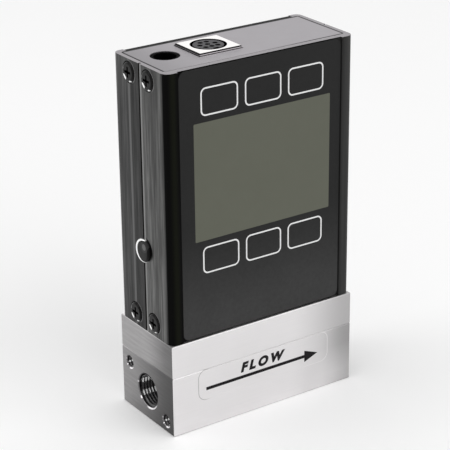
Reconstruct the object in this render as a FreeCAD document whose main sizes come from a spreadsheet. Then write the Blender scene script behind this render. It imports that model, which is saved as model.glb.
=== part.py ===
"""Compact gas mass flow meter: a machined flow body with threaded ports, a sensor
manifold on top of it, and a two-shell display housing with a membrane keypad.
All lengths are millimetres. X runs along the gas path, from inlet to outlet, the
display looks towards -Y, and Z is up from the underside of the flow body."""
import FreeCAD, Part
import math
import os
import re
import Sketcher

doc = FreeCAD.newDocument("MassFlowMeter")
sheet = doc.addObject("Spreadsheet::Sheet", "Sizes")
sub_parts = []

# Driving dimensions, one named cell of the sheet each
sizes = {
    # Flow body and manifold
    "BaseWidth": 61.0,
    "BaseDepth": 26.7,
    "BlockHeight": 17.8,
    "ManifoldHeight": 9.7,
    "EdgeBreak": 0.2,
    "PortHeight": 8.7,
    "PortRadius": 5.0,
    "PortDepth": 10.0,
    "MouthChamfer": 0.25,
    "FlowBore": 4.2,
    "EndHoleAcross": 9.35,
    "EndHoleRise": 5.25,
    "TappedRadius": 1.72,
    "EndHoleDepth": 7.5,
    "FootSpacingX": 38.1,
    "FootSpacingY": 17.78,
    "FootHoleDepth": 7.6,

    # Gas passages, their seals and the laminar flow element
    "TapPlace": 17.5,
    "TapRadius": 0.8,
    "ProbePlace": 12.0,
    "ProbeAcross": 2.3,
    "ProbeRadius": 0.75,
    "ProbeClearance": 0.1,
    "ProbeReach": 1.5,
    "RingRadius": 1.9,
    "CordRadius": 0.4,
    "GrooveWidth": 1.2,
    "ElementLength": 20.0,
    "ElementClearance": 0.03,
    "ElementNose": 1.5,
    "SlotWidth": 0.7,
    "SlotDepth": 1.1,
    "SlotCount": 12,

    # Plinth that carries the housing, and the screws through it
    "PlinthHeight": 6.4,
    "ManifoldScrewX": 20.0,
    "ManifoldScrewY": 6.9,
    "ManifoldScrewShank": 1.5,
    "ManifoldScrewHead": 2.75,
    "ManifoldHeadHeight": 3.0,
    "ManifoldHeadSeat": 22.4,
    "ManifoldScrewDepth": 7.0,
    "HeadClearance": 0.15,
    "HexHalf": 1.25,

    # Housing shells
    "TotalHeight": 104.4,
    "HousingInset": 0.1,
    "HousingSetback": 0.5,
    "SideWall": 1.3,
    "FrontRecess": 0.7,
    "FrontWall": 1.8,
    "RearRecess": 0.6,
    "RearWall": 1.2,
    "FrontRailWidth": 4.0,
    "RearRailWidth": 3.2,
    "FrontCorner": 2.2,
    "RearCorner": 2.0,
    "InnerCorner": 1.0,
    "SeamPlace": -0.25,
    "SeamWidth": 0.6,
    "SeamDepth": 0.7,
    "FitGap": 0.15,

    # Housing screws
    "FrontScrewInset": 8.5,
    "RearScrewInset": 7.95,
    "LowScrewRise": 3.8,
    "TopScrewDrop": 3.65,
    "ScrewShank": 1.5,
    "ScrewReach": 3.0,
    "ScrewHead": 2.9,
    "ScrewHeadHeight": 1.1,
    "ScrewDome": 0.75,
    "ScrewPlay": 0.15,
    "ThreadPlay": 0.05,
    "CounterboreDepth": 0.7,
    "CrossArm": 1.5,
    "CrossHalf": 0.35,
    "CrossDepth": 0.7,

    # Top plate and its connectors
    "TopPlate": 2.0,
    "FlangeThickness": 2.2,
    "FlangeDrop": 8.5,
    "FlangeInset": 1.2,
    "JackInset": 7.9,
    "JackSetback": 0.1,
    "JackCollar": 4.0,
    "JackSink": 0.2,
    "JackBlock": 9.0,
    "JackBore": 3.1,
    "JackBoreDepth": 9.0,
    "JackPin": 1.0,
    "JackPinSink": 4.5,
    "DinOffset": 13.6,
    "DinGap": 0.4,
    "DinWidth": 13.5,
    "DinDepth": 12.2,
    "DinProud": 0.7,
    "DinPlay": 0.25,
    "DinEdge": 0.3,
    "DinSocket": 5.0,
    "DinSocketDepth": 7.0,
    "DinCore": 4.2,
    "DinCoreSink": 0.4,
    "DinPinHole": 0.6,
    "DinPinDepth": 4.0,
    "DinContact": 0.35,
    "DinRowPitch": 2.1,
    "DinPinPitch": 2.4,
    "DinKeyWidth": 1.8,
    "DinKeyDepth": 1.0,
    "ConnectorHeight": 11.0,

    # Keypad, display and boards
    "FilmThickness": 0.4,
    "FilmGap": 0.25,
    "FilmEdgeGap": 0.3,
    "FilmCorner": 2.0,
    "DisplayDrop": 31.8,
    "DisplayWidth": 44.4,
    "DisplayHeight": 33.4,
    "WindowMargin": 1.0,
    "KeyPitch": 14.0,
    "TopKeyGap": 5.6,
    "LowKeyGap": 5.8,
    "KeyHole": 2.1,
    "KeyStem": 1.75,
    "KeyTravel": 0.25,
    "KeyRunning": 0.05,
    "KeyStemDepth": 0.9,
    "KeyTipEdge": 0.2,
    "SwitchSide": 6.0,
    "SwitchHeight": 3.3,
    "SwitchEdge": 0.4,
    "PanelSide": 2.0,
    "PanelEdge": 1.7,
    "PanelThickness": 1.8,
    "GasketThickness": 0.5,
    "GasketWidth": 1.0,
    "BacklightThickness": 1.7,
    "BoardMargin": 0.8,
    "BoardCorner": 1.5,
    "DisplayBoardThickness": 1.2,
    "DisplayBoardEdge": 1.6,
    "SpacerInset": 4.6,
    "SpacerRise": 2.6,
    "SpacerHalf": 2.0,
    "SpacerBore": 1.0,
    "MainBoardThickness": 1.6,
    "MainSpacerLength": 4.1,
    "MainBoardRise": 5.6,
    "MainBoardGap": 1.9,
    "BoardScrewHead": 1.9,
    "BoardScrewHeight": 1.2,
    "BoardScrewShank": 0.95,
    "BoardScrewLength": 4.5,
    "BoardHoleRadius": 1.1,
    "ConnectorBoardThickness": 1.2,
    "ConnectorBoardMargin": 0.7,
    "LinkWidth": 22.0,
    "LinkHeight": 5.0,
    "LinkDrop": 6.7,
    "HeaderWidth": 14.0,
    "HeaderDepth": 2.6,
    "HeaderHeight": 5.9,
    "ChipSide": 10.0,
    "ChipHeight": 1.4,

    # Gas sensors
    "SensorBlockLength": 44.0,
    "SensorBlockFront": 4.0,
    "SensorBlockRear": 5.5,
    "SensorBlockHeight": 5.0,
    "GalleryRadius": 0.95,
    "GalleryRise": 2.5,
    "GalleryStop": 2.8,
    "GalleryPlug": 1.2,
    "GalleryPlugLength": 2.5,
    "NozzlePlace": 4.0,
    "NozzleRadius": 0.7,
    "NozzleLength": 1.5,
    "DifferentialLength": 14.0,
    "DifferentialWidth": 8.0,
    "SensorHeight": 5.6,
    "AbsolutePlace": -13.0,
    "AbsoluteRadius": 3.2,
    "AbsoluteFlange": 4.2,
    "AbsoluteFlangeHeight": 1.2,
    "SensorBoardLength": 36.0,
    "SensorBoardWidth": 9.5,
    "SensorBoardThickness": 1.2,
    "SensorHeaderWidth": 16.0,
    "SensorHeaderHeight": 2.5,
    "SensorHeaderDepth": 2.6,

    # Side plug
    "PlugRise": 51.7,
    "PlugHead": 3.4,
    "PlugProud": 0.9,
    "PlugRound": 0.7,
    "PlugStem": 2.1,
    "PlugHole": 2.2,
    "PlugBarb": 2.7,
    "PlugBarbLength": 1.2,
    "PlugBarbTaper": 0.5,
}
for row, (name, number_of_mm) in enumerate(sizes.items(), start=1):
    cell = "A%d" % row
    sheet.set(cell, str(number_of_mm))
    sheet.setAlias(cell, name)
doc.recompute()


def formula(text):
    """Turns a plain formula of size names into one that reads the sheet."""
    return re.sub(r"\b([A-Z]\w+)", r"Sizes.\1", text)


def number(text):
    """The value of a formula at the present sizes."""
    return float(sheet.evalExpression(formula(text)))


# Places that several pieces share
half_width = "(BaseWidth / 2 - HousingInset)"
half_depth = "(BaseDepth / 2 - HousingSetback)"
base_top = "(BlockHeight + ManifoldHeight)"
plinth_top = "(BlockHeight + ManifoldHeight + PlinthHeight)"
side_inside = f"({half_width} - SideWall)"
recess_face = f"(-{half_depth} + FrontRecess)"
front_inside = f"({recess_face} + FrontWall)"
rear_outside = f"({half_depth} - RearRecess)"
rear_inside = f"({rear_outside} - RearWall)"
recess_half = f"({half_width} - FrontRailWidth)"
film_half = f"({recess_half} - FilmGap)"
low_screws = "(BlockHeight + ManifoldHeight + LowScrewRise)"
top_screws = "(TotalHeight - TopScrewDrop)"
plate_under = "(TotalHeight - TopPlate)"
screw_seat = f"({half_width} - CounterboreDepth)"
front_screws = f"(-{half_depth} + FrontScrewInset)"
rear_screws = f"({half_depth} - RearScrewInset)"
jack_x = f"(-{side_inside} + JackInset)"
din_x = f"({jack_x} + DinOffset)"
display_centre = "(TotalHeight - DisplayDrop)"
top_keys = f"({display_centre} + DisplayHeight / 2 + TopKeyGap)"
low_keys = f"({display_centre} - DisplayHeight / 2 - LowKeyGap)"
panel_half = "(DisplayWidth / 2 + PanelSide)"
panel_low = f"({display_centre} - DisplayHeight / 2 - PanelEdge)"
panel_high = f"({display_centre} + DisplayHeight / 2 + PanelEdge)"
panel_front = f"({front_inside} + GasketThickness)"
panel_back = f"({panel_front} + PanelThickness)"
display_board_front = f"({panel_back} + BacklightThickness)"
display_board_back = f"({display_board_front} + DisplayBoardThickness)"
din_y = f"({display_board_back} + DinGap + DinDepth / 2)"
jack_y = f"({din_y} + JackSetback)"
display_board_low = f"({low_keys} - SwitchSide / 2 - DisplayBoardEdge)"
display_board_high = f"({top_keys} + SwitchSide / 2 + DisplayBoardEdge)"
board_half = f"({panel_half} + BoardMargin)"
spacer_x = f"({board_half} - SpacerInset)"
main_board_back = f"({rear_inside} - MainSpacerLength)"
main_board_front = f"({main_board_back} - MainBoardThickness)"
connector_low = f"({plate_under} - ConnectorHeight)"
connector_board_low = f"({connector_low} - ConnectorBoardThickness)"
main_board_low = f"({plinth_top} + MainBoardRise)"
main_board_high = f"({connector_board_low} - MainBoardGap)"
link_centre = f"({display_centre} - LinkDrop)"
sensor_block_top = f"({plinth_top} + SensorBlockHeight)"
sensor_board_low = f"({sensor_block_top} + SensorHeight)"
sensor_board_top = f"({sensor_board_low} + SensorBoardThickness)"
switch_face = f"({display_board_front} - SwitchHeight)"
seal_places = (("-TapPlace", "0"), ("TapPlace", "0"), ("ProbePlace", "ProbeAcross"))


# Helpers for bodies built from sketches
def body_named(label):
    """A new body; its label is the name of the piece."""
    body = doc.addObject("PartDesign::Body", label)
    body.Label = label
    sub_parts.append(body)
    return body


def origin_feature(body, role):
    """One of the planes or axes of the body's own origin."""
    for feature in body.Origin.OriginFeatures:
        if feature.Role == role:
            return feature


planes = {
    "Z": ("XY_Plane", 1),
    "Y": ("XZ_Plane", -1),
    "X": ("YZ_Plane", 1),
}


def sketch_at(body, axis, place, name):
    """A sketch square to an axis of the part, at a place along that axis."""
    role, normal = planes[axis]
    sketch = body.newObject("Sketcher::SketchObject", name)
    sketch.AttachmentSupport = [(origin_feature(body, role), "")]
    sketch.MapMode = "FlatFace"
    offset = place if normal > 0 else "-(%s)" % place
    sketch.setExpression("AttachmentOffset.Base.z", formula(offset))
    return sketch


def hold(sketch, geometry, point, across, up):
    """Holds a point of the sketch at its distances from the sketch origin."""
    for kind, text, axis in (("DistanceX", across, -2), ("DistanceY", up, -1)):
        if text == "0":
            sketch.addConstraint(Sketcher.Constraint("PointOnObject", geometry, point, axis))
        else:
            rule = Sketcher.Constraint(kind, -1, 1, geometry, point, number(text))
            index = sketch.addConstraint(rule)
            sketch.setExpression("Constraints[%d]" % index, formula(text))


def outline(sketch, corners):
    """A closed outline of straight lines; each corner is a pair of formulas."""
    spots = [FreeCAD.Vector(number(across), number(up), 0) for across, up in corners]
    first = sketch.GeometryCount
    count = len(corners)
    for index in range(count):
        sketch.addGeometry(Part.LineSegment(spots[index], spots[(index + 1) % count]))
    for index in range(count):
        following = first + (index + 1) % count
        sketch.addConstraint(Sketcher.Constraint("Coincident", first + index, 2, following, 1))
    for index, (across, up) in enumerate(corners):
        hold(sketch, first + index, 1, across, up)


def rectangle(sketch, left, right, low, high):
    """A closed rectangle between four formulas."""
    outline(sketch, [(left, low), (right, low), (right, high), (left, high)])


def circle(sketch, across, up, radius):
    """A circle whose centre and radius are formulas."""
    centre = FreeCAD.Vector(number(across), number(up), 0)
    upright = FreeCAD.Vector(0, 0, 1)
    index = sketch.addGeometry(Part.Circle(centre, upright, number(radius)))
    hold(sketch, index, 3, across, up)
    rule = sketch.addConstraint(Sketcher.Constraint("Radius", index, number(radius)))
    sketch.setExpression("Constraints[%d]" % rule, formula(radius))


def regular_outline(sketch, across, up, radius, sides):
    """A regular outline with its corners on a circle."""
    corners = []
    for index in range(sides):
        angle = 2 * math.pi * (index + 0.5) / sides
        right = f"({across}) + ({radius}) * {math.cos(angle):.9f}"
        above = f"({up}) + ({radius}) * {math.sin(angle):.9f}"
        corners.append((right, above))
    outline(sketch, corners)


def volume_after(body):
    """Rebuilds the document and gives the body's volume."""
    doc.recompute()
    return body.Shape.Volume if not body.Shape.isNull() else 0.0


def pad(sketch, axis, direction, length):
    """Adds material from the sketch along an axis, towards + or -."""
    body = sketch.getParentGeoFeatureGroup()
    before = volume_after(body)
    feature = body.newObject("PartDesign::Pad", sketch.Label + "_pad")
    feature.Profile = sketch
    feature.Reversed = planes[axis][1] != direction
    feature.setExpression("Length", formula(length))
    if volume_after(body) <= before:
        raise ValueError("nothing added by " + feature.Label)
    return feature


def pocket(sketch, axis, direction, length):
    """Cuts material from the sketch along an axis, towards + or -."""
    body = sketch.getParentGeoFeatureGroup()
    before = volume_after(body)
    feature = body.newObject("PartDesign::Pocket", sketch.Label + "_pocket")
    feature.Profile = sketch
    feature.Reversed = planes[axis][1] == direction
    feature.setExpression("Length", formula(length))
    if volume_after(body) >= before:
        raise ValueError("nothing cut by " + feature.Label)
    return feature


def edges_where(feature, test):
    """The names of a feature's edges that pass a test."""
    edges = feature.Shape.Edges
    return ["Edge%d" % (index + 1) for index, edge in enumerate(edges) if test(edge)]


def rounded(body, label, radius, test):
    """Rounds the edges of the body that pass a test."""
    feature = body.newObject("PartDesign::Fillet", label)
    base = body.Tip if body.Tip is not feature else feature.BaseFeature
    feature.Base = (base, edges_where(base, test))
    feature.setExpression("Radius", formula(radius))
    body.Tip = feature
    doc.recompute()
    return feature


def bevelled(body, label, width, test):
    """Breaks the edges of the body that pass a test."""
    feature = body.newObject("PartDesign::Chamfer", label)
    base = body.Tip if body.Tip is not feature else feature.BaseFeature
    feature.Base = (base, edges_where(base, test))
    feature.setExpression("Size", formula(width))
    body.Tip = feature
    doc.recompute()
    return feature


def mirrored(body, label, role, originals=None):
    """Mirrors features, or the whole body, in a plane of its origin."""
    feature = body.newObject("PartDesign::Mirrored", label)
    feature.MirrorPlane = (origin_feature(body, role), [""])
    transform(body, feature, originals)
    return feature


def repeated(body, label, role, length, originals=None, backwards=False):
    """Copies features, or the whole body, once along an axis of its origin."""
    feature = body.newObject("PartDesign::LinearPattern", label)
    feature.Direction = (origin_feature(body, role), [""])
    feature.Reversed = backwards
    feature.Occurrences = 2
    feature.setExpression("Length", formula(length))
    transform(body, feature, originals)
    return feature


def transform(body, feature, originals):
    """Says what a pattern copies and makes it the body's result."""
    if originals:
        feature.Originals = originals
    else:
        feature.TransformMode = "Whole shape"
    body.Tip = feature
    doc.recompute()


def near(value, text):
    """True where a value lies at the place that a formula gives."""
    return abs(value - number(text)) < 1e-4


def is_upright(edge):
    """True for a straight edge along Z."""
    if not isinstance(edge.Curve, Part.Line):
        return False
    return abs(abs(edge.Curve.Direction.z) - 1) < 1e-6


def middle(edge):
    """The middle of an edge's bounding box."""
    return edge.BoundBox.Center


# Helpers for plain pieces built from primitives
def block(label, x_low, x_high, y_low, y_high, z_low, z_high):
    """A box between six formulas."""
    piece = doc.addObject("Part::Box", label)
    piece.Label = label
    piece.setExpression("Length", formula(f"({x_high}) - ({x_low})"))
    piece.setExpression("Width", formula(f"({y_high}) - ({y_low})"))
    piece.setExpression("Height", formula(f"({z_high}) - ({z_low})"))
    piece.setExpression("Placement.Base.x", formula(x_low))
    piece.setExpression("Placement.Base.y", formula(y_low))
    piece.setExpression("Placement.Base.z", formula(z_low))
    return piece


turns = {
    "X": FreeCAD.Rotation(FreeCAD.Vector(0, 1, 0), 90),
    "Y": FreeCAD.Rotation(FreeCAD.Vector(1, 0, 0), -90),
    "Z": FreeCAD.Rotation(),
}


def rod(label, axis, start, radius, length):
    """A cylinder that runs from its start along an axis; start is three formulas."""
    piece = doc.addObject("Part::Cylinder", label)
    piece.Label = label
    piece.Placement = FreeCAD.Placement(FreeCAD.Vector(), turns[axis])
    piece.setExpression("Radius", formula(radius))
    piece.setExpression("Height", formula(length))
    for name, place in zip(("x", "y", "z"), start):
        piece.setExpression("Placement.Base." + name, formula(place))
    return piece


def fused(label, *pieces):
    """Several overlapping shapes as one solid."""
    piece = doc.addObject("Part::MultiFuse", label)
    piece.Label = label
    piece.Shapes = list(pieces)
    return piece


def group(label, pieces):
    """Like pieces that share one node, each still its own solid."""
    piece = doc.addObject("Part::Compound", label)
    piece.Label = label
    piece.Links = list(pieces)
    return piece


def sub_part(piece):
    """Marks a piece as one of the meter's own."""
    sub_parts.append(piece)
    return piece


def flow_body():
    """The machined lower block: ports, bore, taps and tapped mounting holes."""
    body = body_named("flow_body")
    plan = sketch_at(body, "Z", "0", "block_plan")
    rectangle(plan, "-BaseWidth / 2", "BaseWidth / 2", "-BaseDepth / 2", "BaseDepth / 2")
    pad(plan, "Z", 1, "BlockHeight")
    bevelled(body, "block_edges", "EdgeBreak", lambda edge: True)

    bore = sketch_at(body, "X", "-BaseWidth / 2", "gas_bore")
    circle(bore, "0", "PortHeight", "FlowBore")
    pocket(bore, "X", 1, "BaseWidth")

    port = sketch_at(body, "X", "-BaseWidth / 2", "port")
    circle(port, "0", "PortHeight", "PortRadius")
    port_cut = pocket(port, "X", 1, "PortDepth")
    ends = sketch_at(body, "X", "-BaseWidth / 2", "end_holes")
    circle(ends, "EndHoleAcross", "PortHeight + EndHoleRise", "TappedRadius")
    circle(ends, "-EndHoleAcross", "PortHeight - EndHoleRise", "TappedRadius")
    end_cut = pocket(ends, "X", 1, "EndHoleDepth")
    mirrored(body, "other_end", "YZ_Plane", [port_cut, end_cut])

    feet = sketch_at(body, "Z", "0", "mounting_holes")
    for across in ("-FootSpacingX / 2", "FootSpacingX / 2"):
        for up in ("-FootSpacingY / 2", "FootSpacingY / 2"):
            circle(feet, across, up, "TappedRadius")
    pocket(feet, "Z", 1, "FootHoleDepth")

    taps = sketch_at(body, "Z", "BlockHeight", "pressure_taps")
    circle(taps, "-TapPlace", "0", "TapRadius")
    circle(taps, "TapPlace", "0", "TapRadius")
    circle(taps, "ProbePlace", "ProbeAcross", "ProbeRadius + ProbeClearance")
    pocket(taps, "Z", -1, "BlockHeight - PortHeight")

    grooves = sketch_at(body, "Z", "BlockHeight", "seal_grooves")
    for across, up in seal_places:
        circle(grooves, across, up, "RingRadius + GrooveWidth / 2")
        circle(grooves, across, up, "RingRadius - GrooveWidth / 2")
    pocket(grooves, "Z", -1, "2 * CordRadius")

    threads = sketch_at(body, "Z", "BlockHeight", "manifold_threads")
    for across in ("-ManifoldScrewX", "ManifoldScrewX"):
        for up in ("-ManifoldScrewY", "ManifoldScrewY"):
            circle(threads, across, up, "ManifoldScrewShank + ThreadPlay")
    pocket(threads, "Z", -1, "ManifoldScrewDepth")

    def is_mouth(edge):
        spot = middle(edge)
        at_end = near(abs(spot.x), "BaseWidth / 2")
        below = near(spot.z, "0") and edge.BoundBox.XLength < number("3 * TappedRadius")
        return isinstance(edge.Curve, Part.Circle) and (at_end or below)

    bevelled(body, "hole_mouths", "MouthChamfer", is_mouth)


def laminar_element():
    """The slotted plug in the bore that makes the pressure drop."""
    body = body_named("laminar_element")
    section = sketch_at(body, "X", "-ElementLength / 2", "element_section")
    circle(section, "0", "PortHeight", "FlowBore - ElementClearance")
    pad(section, "X", 1, "ElementLength")
    bevelled(body, "element_noses", "ElementNose", lambda edge: isinstance(edge.Curve, Part.Circle))
    slot = sketch_at(body, "X", "-ElementLength / 2", "element_slots")
    floor = "(FlowBore - SlotDepth)"
    beyond = "(FlowBore + SlotDepth)"
    slot_corners = (("-SlotWidth / 2", beyond), ("SlotWidth / 2", beyond),
                    ("SlotWidth / 2", floor), ("-SlotWidth / 2", floor))
    for index in range(int(number("SlotCount"))):
        angle = 2 * math.pi * index / number("SlotCount")
        sine = f"{math.sin(angle):.9f}"
        cosine = f"{math.cos(angle):.9f}"
        corners = []
        for across, out in slot_corners:
            right = f"{out} * {sine} + ({across}) * {cosine}"
            above = f"PortHeight + {out} * {cosine} - ({across}) * {sine}"
            corners.append((right, above))
        outline(slot, corners)
    pocket(slot, "X", 1, "ElementLength")


def seal_rings(label, height):
    """A group of round cord rings that lie in their grooves."""
    rings = []
    for index, (across, up) in enumerate(seal_places):
        ring = doc.addObject("Part::Torus", "%s_%d" % (label, index + 1))
        ring.setExpression("Radius1", formula("RingRadius"))
        ring.setExpression("Radius2", formula("CordRadius"))
        ring.setExpression("Placement.Base.x", formula(across))
        ring.setExpression("Placement.Base.y", formula(up))
        ring.setExpression("Placement.Base.z", formula(height))
        rings.append(ring)
    sub_part(group(label, rings))


def manifold():
    """The upper block, with the plinth that the two shells close round."""
    body = body_named("manifold")
    plan = sketch_at(body, "Z", "BlockHeight", "manifold_plan")
    rectangle(plan, "-BaseWidth / 2", "BaseWidth / 2", "-BaseDepth / 2", "BaseDepth / 2")
    pad(plan, "Z", 1, "ManifoldHeight")
    bevelled(body, "manifold_edges", "EdgeBreak", lambda edge: True)
    plinth = sketch_at(body, "Z", base_top, "plinth_plan")
    edge = f"({side_inside} - FitGap)"
    rectangle(plinth, "-" + edge, edge, f"{front_inside} + FitGap", f"{rear_inside} - FitGap")
    pad(plinth, "Z", 1, "PlinthHeight")

    def is_plinth_corner(edge):
        return is_upright(edge) and middle(edge).z > number(base_top)

    rounded(body, "plinth_corners", "InnerCorner", is_plinth_corner)
    taps = sketch_at(body, "Z", plinth_top, "manifold_taps")
    circle(taps, "-TapPlace", "0", "TapRadius")
    circle(taps, "TapPlace", "0", "TapRadius")
    circle(taps, "ProbePlace", "ProbeAcross", "ProbeRadius + ProbeClearance")
    pocket(taps, "Z", -1, "PlinthHeight + ManifoldHeight")
    grooves = sketch_at(body, "Z", plinth_top, "sensor_grooves")
    for across, up in seal_places:
        circle(grooves, across, up, "RingRadius + GrooveWidth / 2")
        circle(grooves, across, up, "RingRadius - GrooveWidth / 2")
    pocket(grooves, "Z", -1, "2 * CordRadius")
    heads = sketch_at(body, "Z", plinth_top, "screw_counterbores")
    holes = sketch_at(body, "Z", plinth_top, "screw_holes")
    for across in ("-ManifoldScrewX", "ManifoldScrewX"):
        for up in ("-ManifoldScrewY", "ManifoldScrewY"):
            circle(heads, across, up, "ManifoldScrewHead + HeadClearance")
            circle(holes, across, up, "ManifoldScrewShank + HeadClearance")
    pocket(heads, "Z", -1, f"{plinth_top} - ManifoldHeadSeat")
    pocket(holes, "Z", -1, "PlinthHeight + ManifoldHeight")
    threads = sketch_at(body, "X", f"-{edge}", "shell_threads")
    for across in (front_screws, rear_screws):
        circle(threads, across, low_screws, "ScrewShank + ThreadPlay")
    thread_cut = pocket(threads, "X", 1, "ScrewReach + ScrewShank")
    mirrored(body, "other_shell_threads", "YZ_Plane", [thread_cut])


def manifold_screws():
    """Four socket-head screws that clamp the manifold to the flow body."""
    body = body_named("manifold_screws")
    head = sketch_at(body, "Z", "ManifoldHeadSeat", "socket_head")
    circle(head, "-ManifoldScrewX", "-ManifoldScrewY", "ManifoldScrewHead")
    pad(head, "Z", 1, "ManifoldHeadHeight")
    bevelled(body, "head_edge", "EdgeBreak",
             lambda edge: near(middle(edge).z, "ManifoldHeadSeat + ManifoldHeadHeight"))
    shank = sketch_at(body, "Z", "ManifoldHeadSeat", "screw_shank")
    circle(shank, "-ManifoldScrewX", "-ManifoldScrewY", "ManifoldScrewShank")
    pad(shank, "Z", -1, "ManifoldHeadSeat - BlockHeight + ManifoldScrewDepth - HeadClearance")
    socket = sketch_at(body, "Z", "ManifoldHeadSeat + ManifoldHeadHeight", "hex_socket")
    regular_outline(socket, "-ManifoldScrewX", "-ManifoldScrewY", "HexHalf", 6)
    pocket(socket, "Z", -1, "ManifoldHeadHeight / 2")
    mirrored(body, "screw_pair", "YZ_Plane")
    mirrored(body, "screw_four", "XZ_Plane")


def sensor_block():
    """The drilled block that carries the gas from the taps to the sensors."""
    body = body_named("sensor_block")
    plan = sketch_at(body, "Z", plinth_top, "sensor_block_plan")
    rectangle(plan, "-SensorBlockLength / 2", "SensorBlockLength / 2",
              "-SensorBlockFront", "SensorBlockRear")
    pad(plan, "Z", 1, "SensorBlockHeight")
    bevelled(body, "sensor_block_edges", "EdgeBreak", is_upright)
    gallery = sketch_at(body, "X", "-SensorBlockLength / 2", "gallery")
    circle(gallery, "0", f"{plinth_top} + GalleryRise", "GalleryRadius")
    gallery_cut = pocket(gallery, "X", 1, "SensorBlockLength / 2 - GalleryStop")
    plug_seat = sketch_at(body, "X", "-SensorBlockLength / 2", "gallery_mouth")
    circle(plug_seat, "0", f"{plinth_top} + GalleryRise", "GalleryPlug + ThreadPlay")
    seat_cut = pocket(plug_seat, "X", 1, "GalleryPlugLength")
    mirrored(body, "second_gallery", "YZ_Plane", [gallery_cut, seat_cut])
    risers = sketch_at(body, "Z", plinth_top, "tap_risers")
    circle(risers, "-TapPlace", "0", "TapRadius")
    circle(risers, "TapPlace", "0", "TapRadius")
    pocket(risers, "Z", 1, "GalleryRise")
    nozzles = sketch_at(body, "Z", sensor_block_top, "nozzle_seats")
    for across in ("-NozzlePlace", "NozzlePlace", "AbsolutePlace"):
        circle(nozzles, across, "0", "NozzleRadius + ProbeClearance")
    pocket(nozzles, "Z", -1, "SensorBlockHeight - GalleryRise")
    probe = sketch_at(body, "Z", sensor_block_top, "probe_hole")
    circle(probe, "ProbePlace", "ProbeAcross", "ProbeRadius + ProbeClearance")
    pocket(probe, "Z", -1, "SensorBlockHeight")


def gas_sensors():
    """Differential and absolute pressure sensors, temperature probe and end plugs."""
    plugs = []
    for side, name in ((-1, "inlet"), (1, "outlet")):
        start = f"{side} * SensorBlockLength / 2 - {(1 + side) // 2} * GalleryPlugLength"
        spot = (start, "0", f"{plinth_top} + GalleryRise")
        plugs.append(rod("gallery_plug_" + name, "X", spot, "GalleryPlug", "GalleryPlugLength"))
    sub_part(group("gallery_plugs", plugs))

    cell = block("differential_cell", "-DifferentialLength / 2", "DifferentialLength / 2",
                 "-DifferentialWidth / 2", "DifferentialWidth / 2",
                 sensor_block_top, sensor_board_low)
    nozzles = []
    for place in ("-NozzlePlace", "NozzlePlace"):
        spot = (place, "0", f"{sensor_block_top} - NozzleLength")
        nozzles.append(rod("nozzle", "Z", spot, "NozzleRadius", "NozzleLength + NozzleRadius"))
    sub_part(fused("differential_sensor", cell, *nozzles))

    flange = rod("absolute_flange", "Z", ("AbsolutePlace", "0", sensor_block_top),
                 "AbsoluteFlange", "AbsoluteFlangeHeight")
    can = rod("absolute_can", "Z", ("AbsolutePlace", "0", sensor_block_top),
              "AbsoluteRadius", "SensorHeight")
    nozzle = rod("absolute_nozzle", "Z", ("AbsolutePlace", "0", f"{sensor_block_top} - NozzleLength"),
                 "NozzleRadius", "NozzleLength + NozzleRadius")
    sub_part(fused("absolute_sensor", flange, can, nozzle))

    foot = "PortHeight + ProbeReach"
    sheath = rod("probe_sheath", "Z", ("ProbePlace", "ProbeAcross", foot), "ProbeRadius",
                 f"{sensor_board_low} - ({foot})")
    collar = rod("probe_collar", "Z", ("ProbePlace", "ProbeAcross", sensor_block_top),
                 "2 * ProbeRadius", "ProbeRadius")
    sub_part(fused("temperature_probe", sheath, collar))

    board_edge = f"({main_board_front})"
    sub_part(block("sensor_board", "-SensorBoardLength / 2", "SensorBoardLength / 2",
                   f"{board_edge} - SensorBoardWidth", board_edge,
                   sensor_board_low, sensor_board_top))
    sub_part(block("sensor_header", "-SensorHeaderWidth / 2", "SensorHeaderWidth / 2",
                   f"{board_edge} - SensorHeaderDepth", board_edge,
                   sensor_board_top, f"{sensor_board_top} + SensorHeaderHeight"))


def shell_outline(outer, recess, recess_half, wall, seam_side):
    """Corners of one shell's section, symmetric about the middle of the meter."""
    groove = f"SeamPlace + {seam_side} * SeamWidth / 2"
    half = [
        (half_width, groove),
        (half_width, outer),
        (recess_half, outer),
        (recess_half, recess),
    ]
    inner = [
        (side_inside, wall),
        (side_inside, "SeamPlace"),
        (f"({half_width} - SeamDepth)", "SeamPlace"),
        (f"({half_width} - SeamDepth)", groove),
    ]
    left = [("-" + across, up) for across, up in half]
    right = list(reversed(half))
    back = [(across, up) for across, up in reversed(inner)]
    front = [("-" + across, up) for across, up in inner]
    return left + right + back + front


def screw_seats(body, place):
    """Counterbored screw holes through both side walls of a shell."""
    seats = sketch_at(body, "X", "-" + half_width, "screw_seats")
    holes = sketch_at(body, "X", "-" + half_width, "screw_clearance")
    for height in (low_screws, top_screws):
        circle(seats, place, height, "ScrewHead + ScrewPlay")
        circle(holes, place, height, "ScrewShank + ScrewPlay")
    seat_cut = pocket(seats, "X", 1, "CounterboreDepth")
    hole_cut = pocket(holes, "X", 1, "SideWall + FitGap")
    mirrored(body, "other_side_seats", "YZ_Plane", [seat_cut, hole_cut])


def plug_notch(body):
    """The half of the plug's hole that falls in one shell."""
    notch = sketch_at(body, "X", "-" + half_width, "plug_notch")
    circle(notch, "SeamPlace", "PlugRise", "PlugHole")
    pocket(notch, "X", 1, "SideWall + FitGap")


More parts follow.
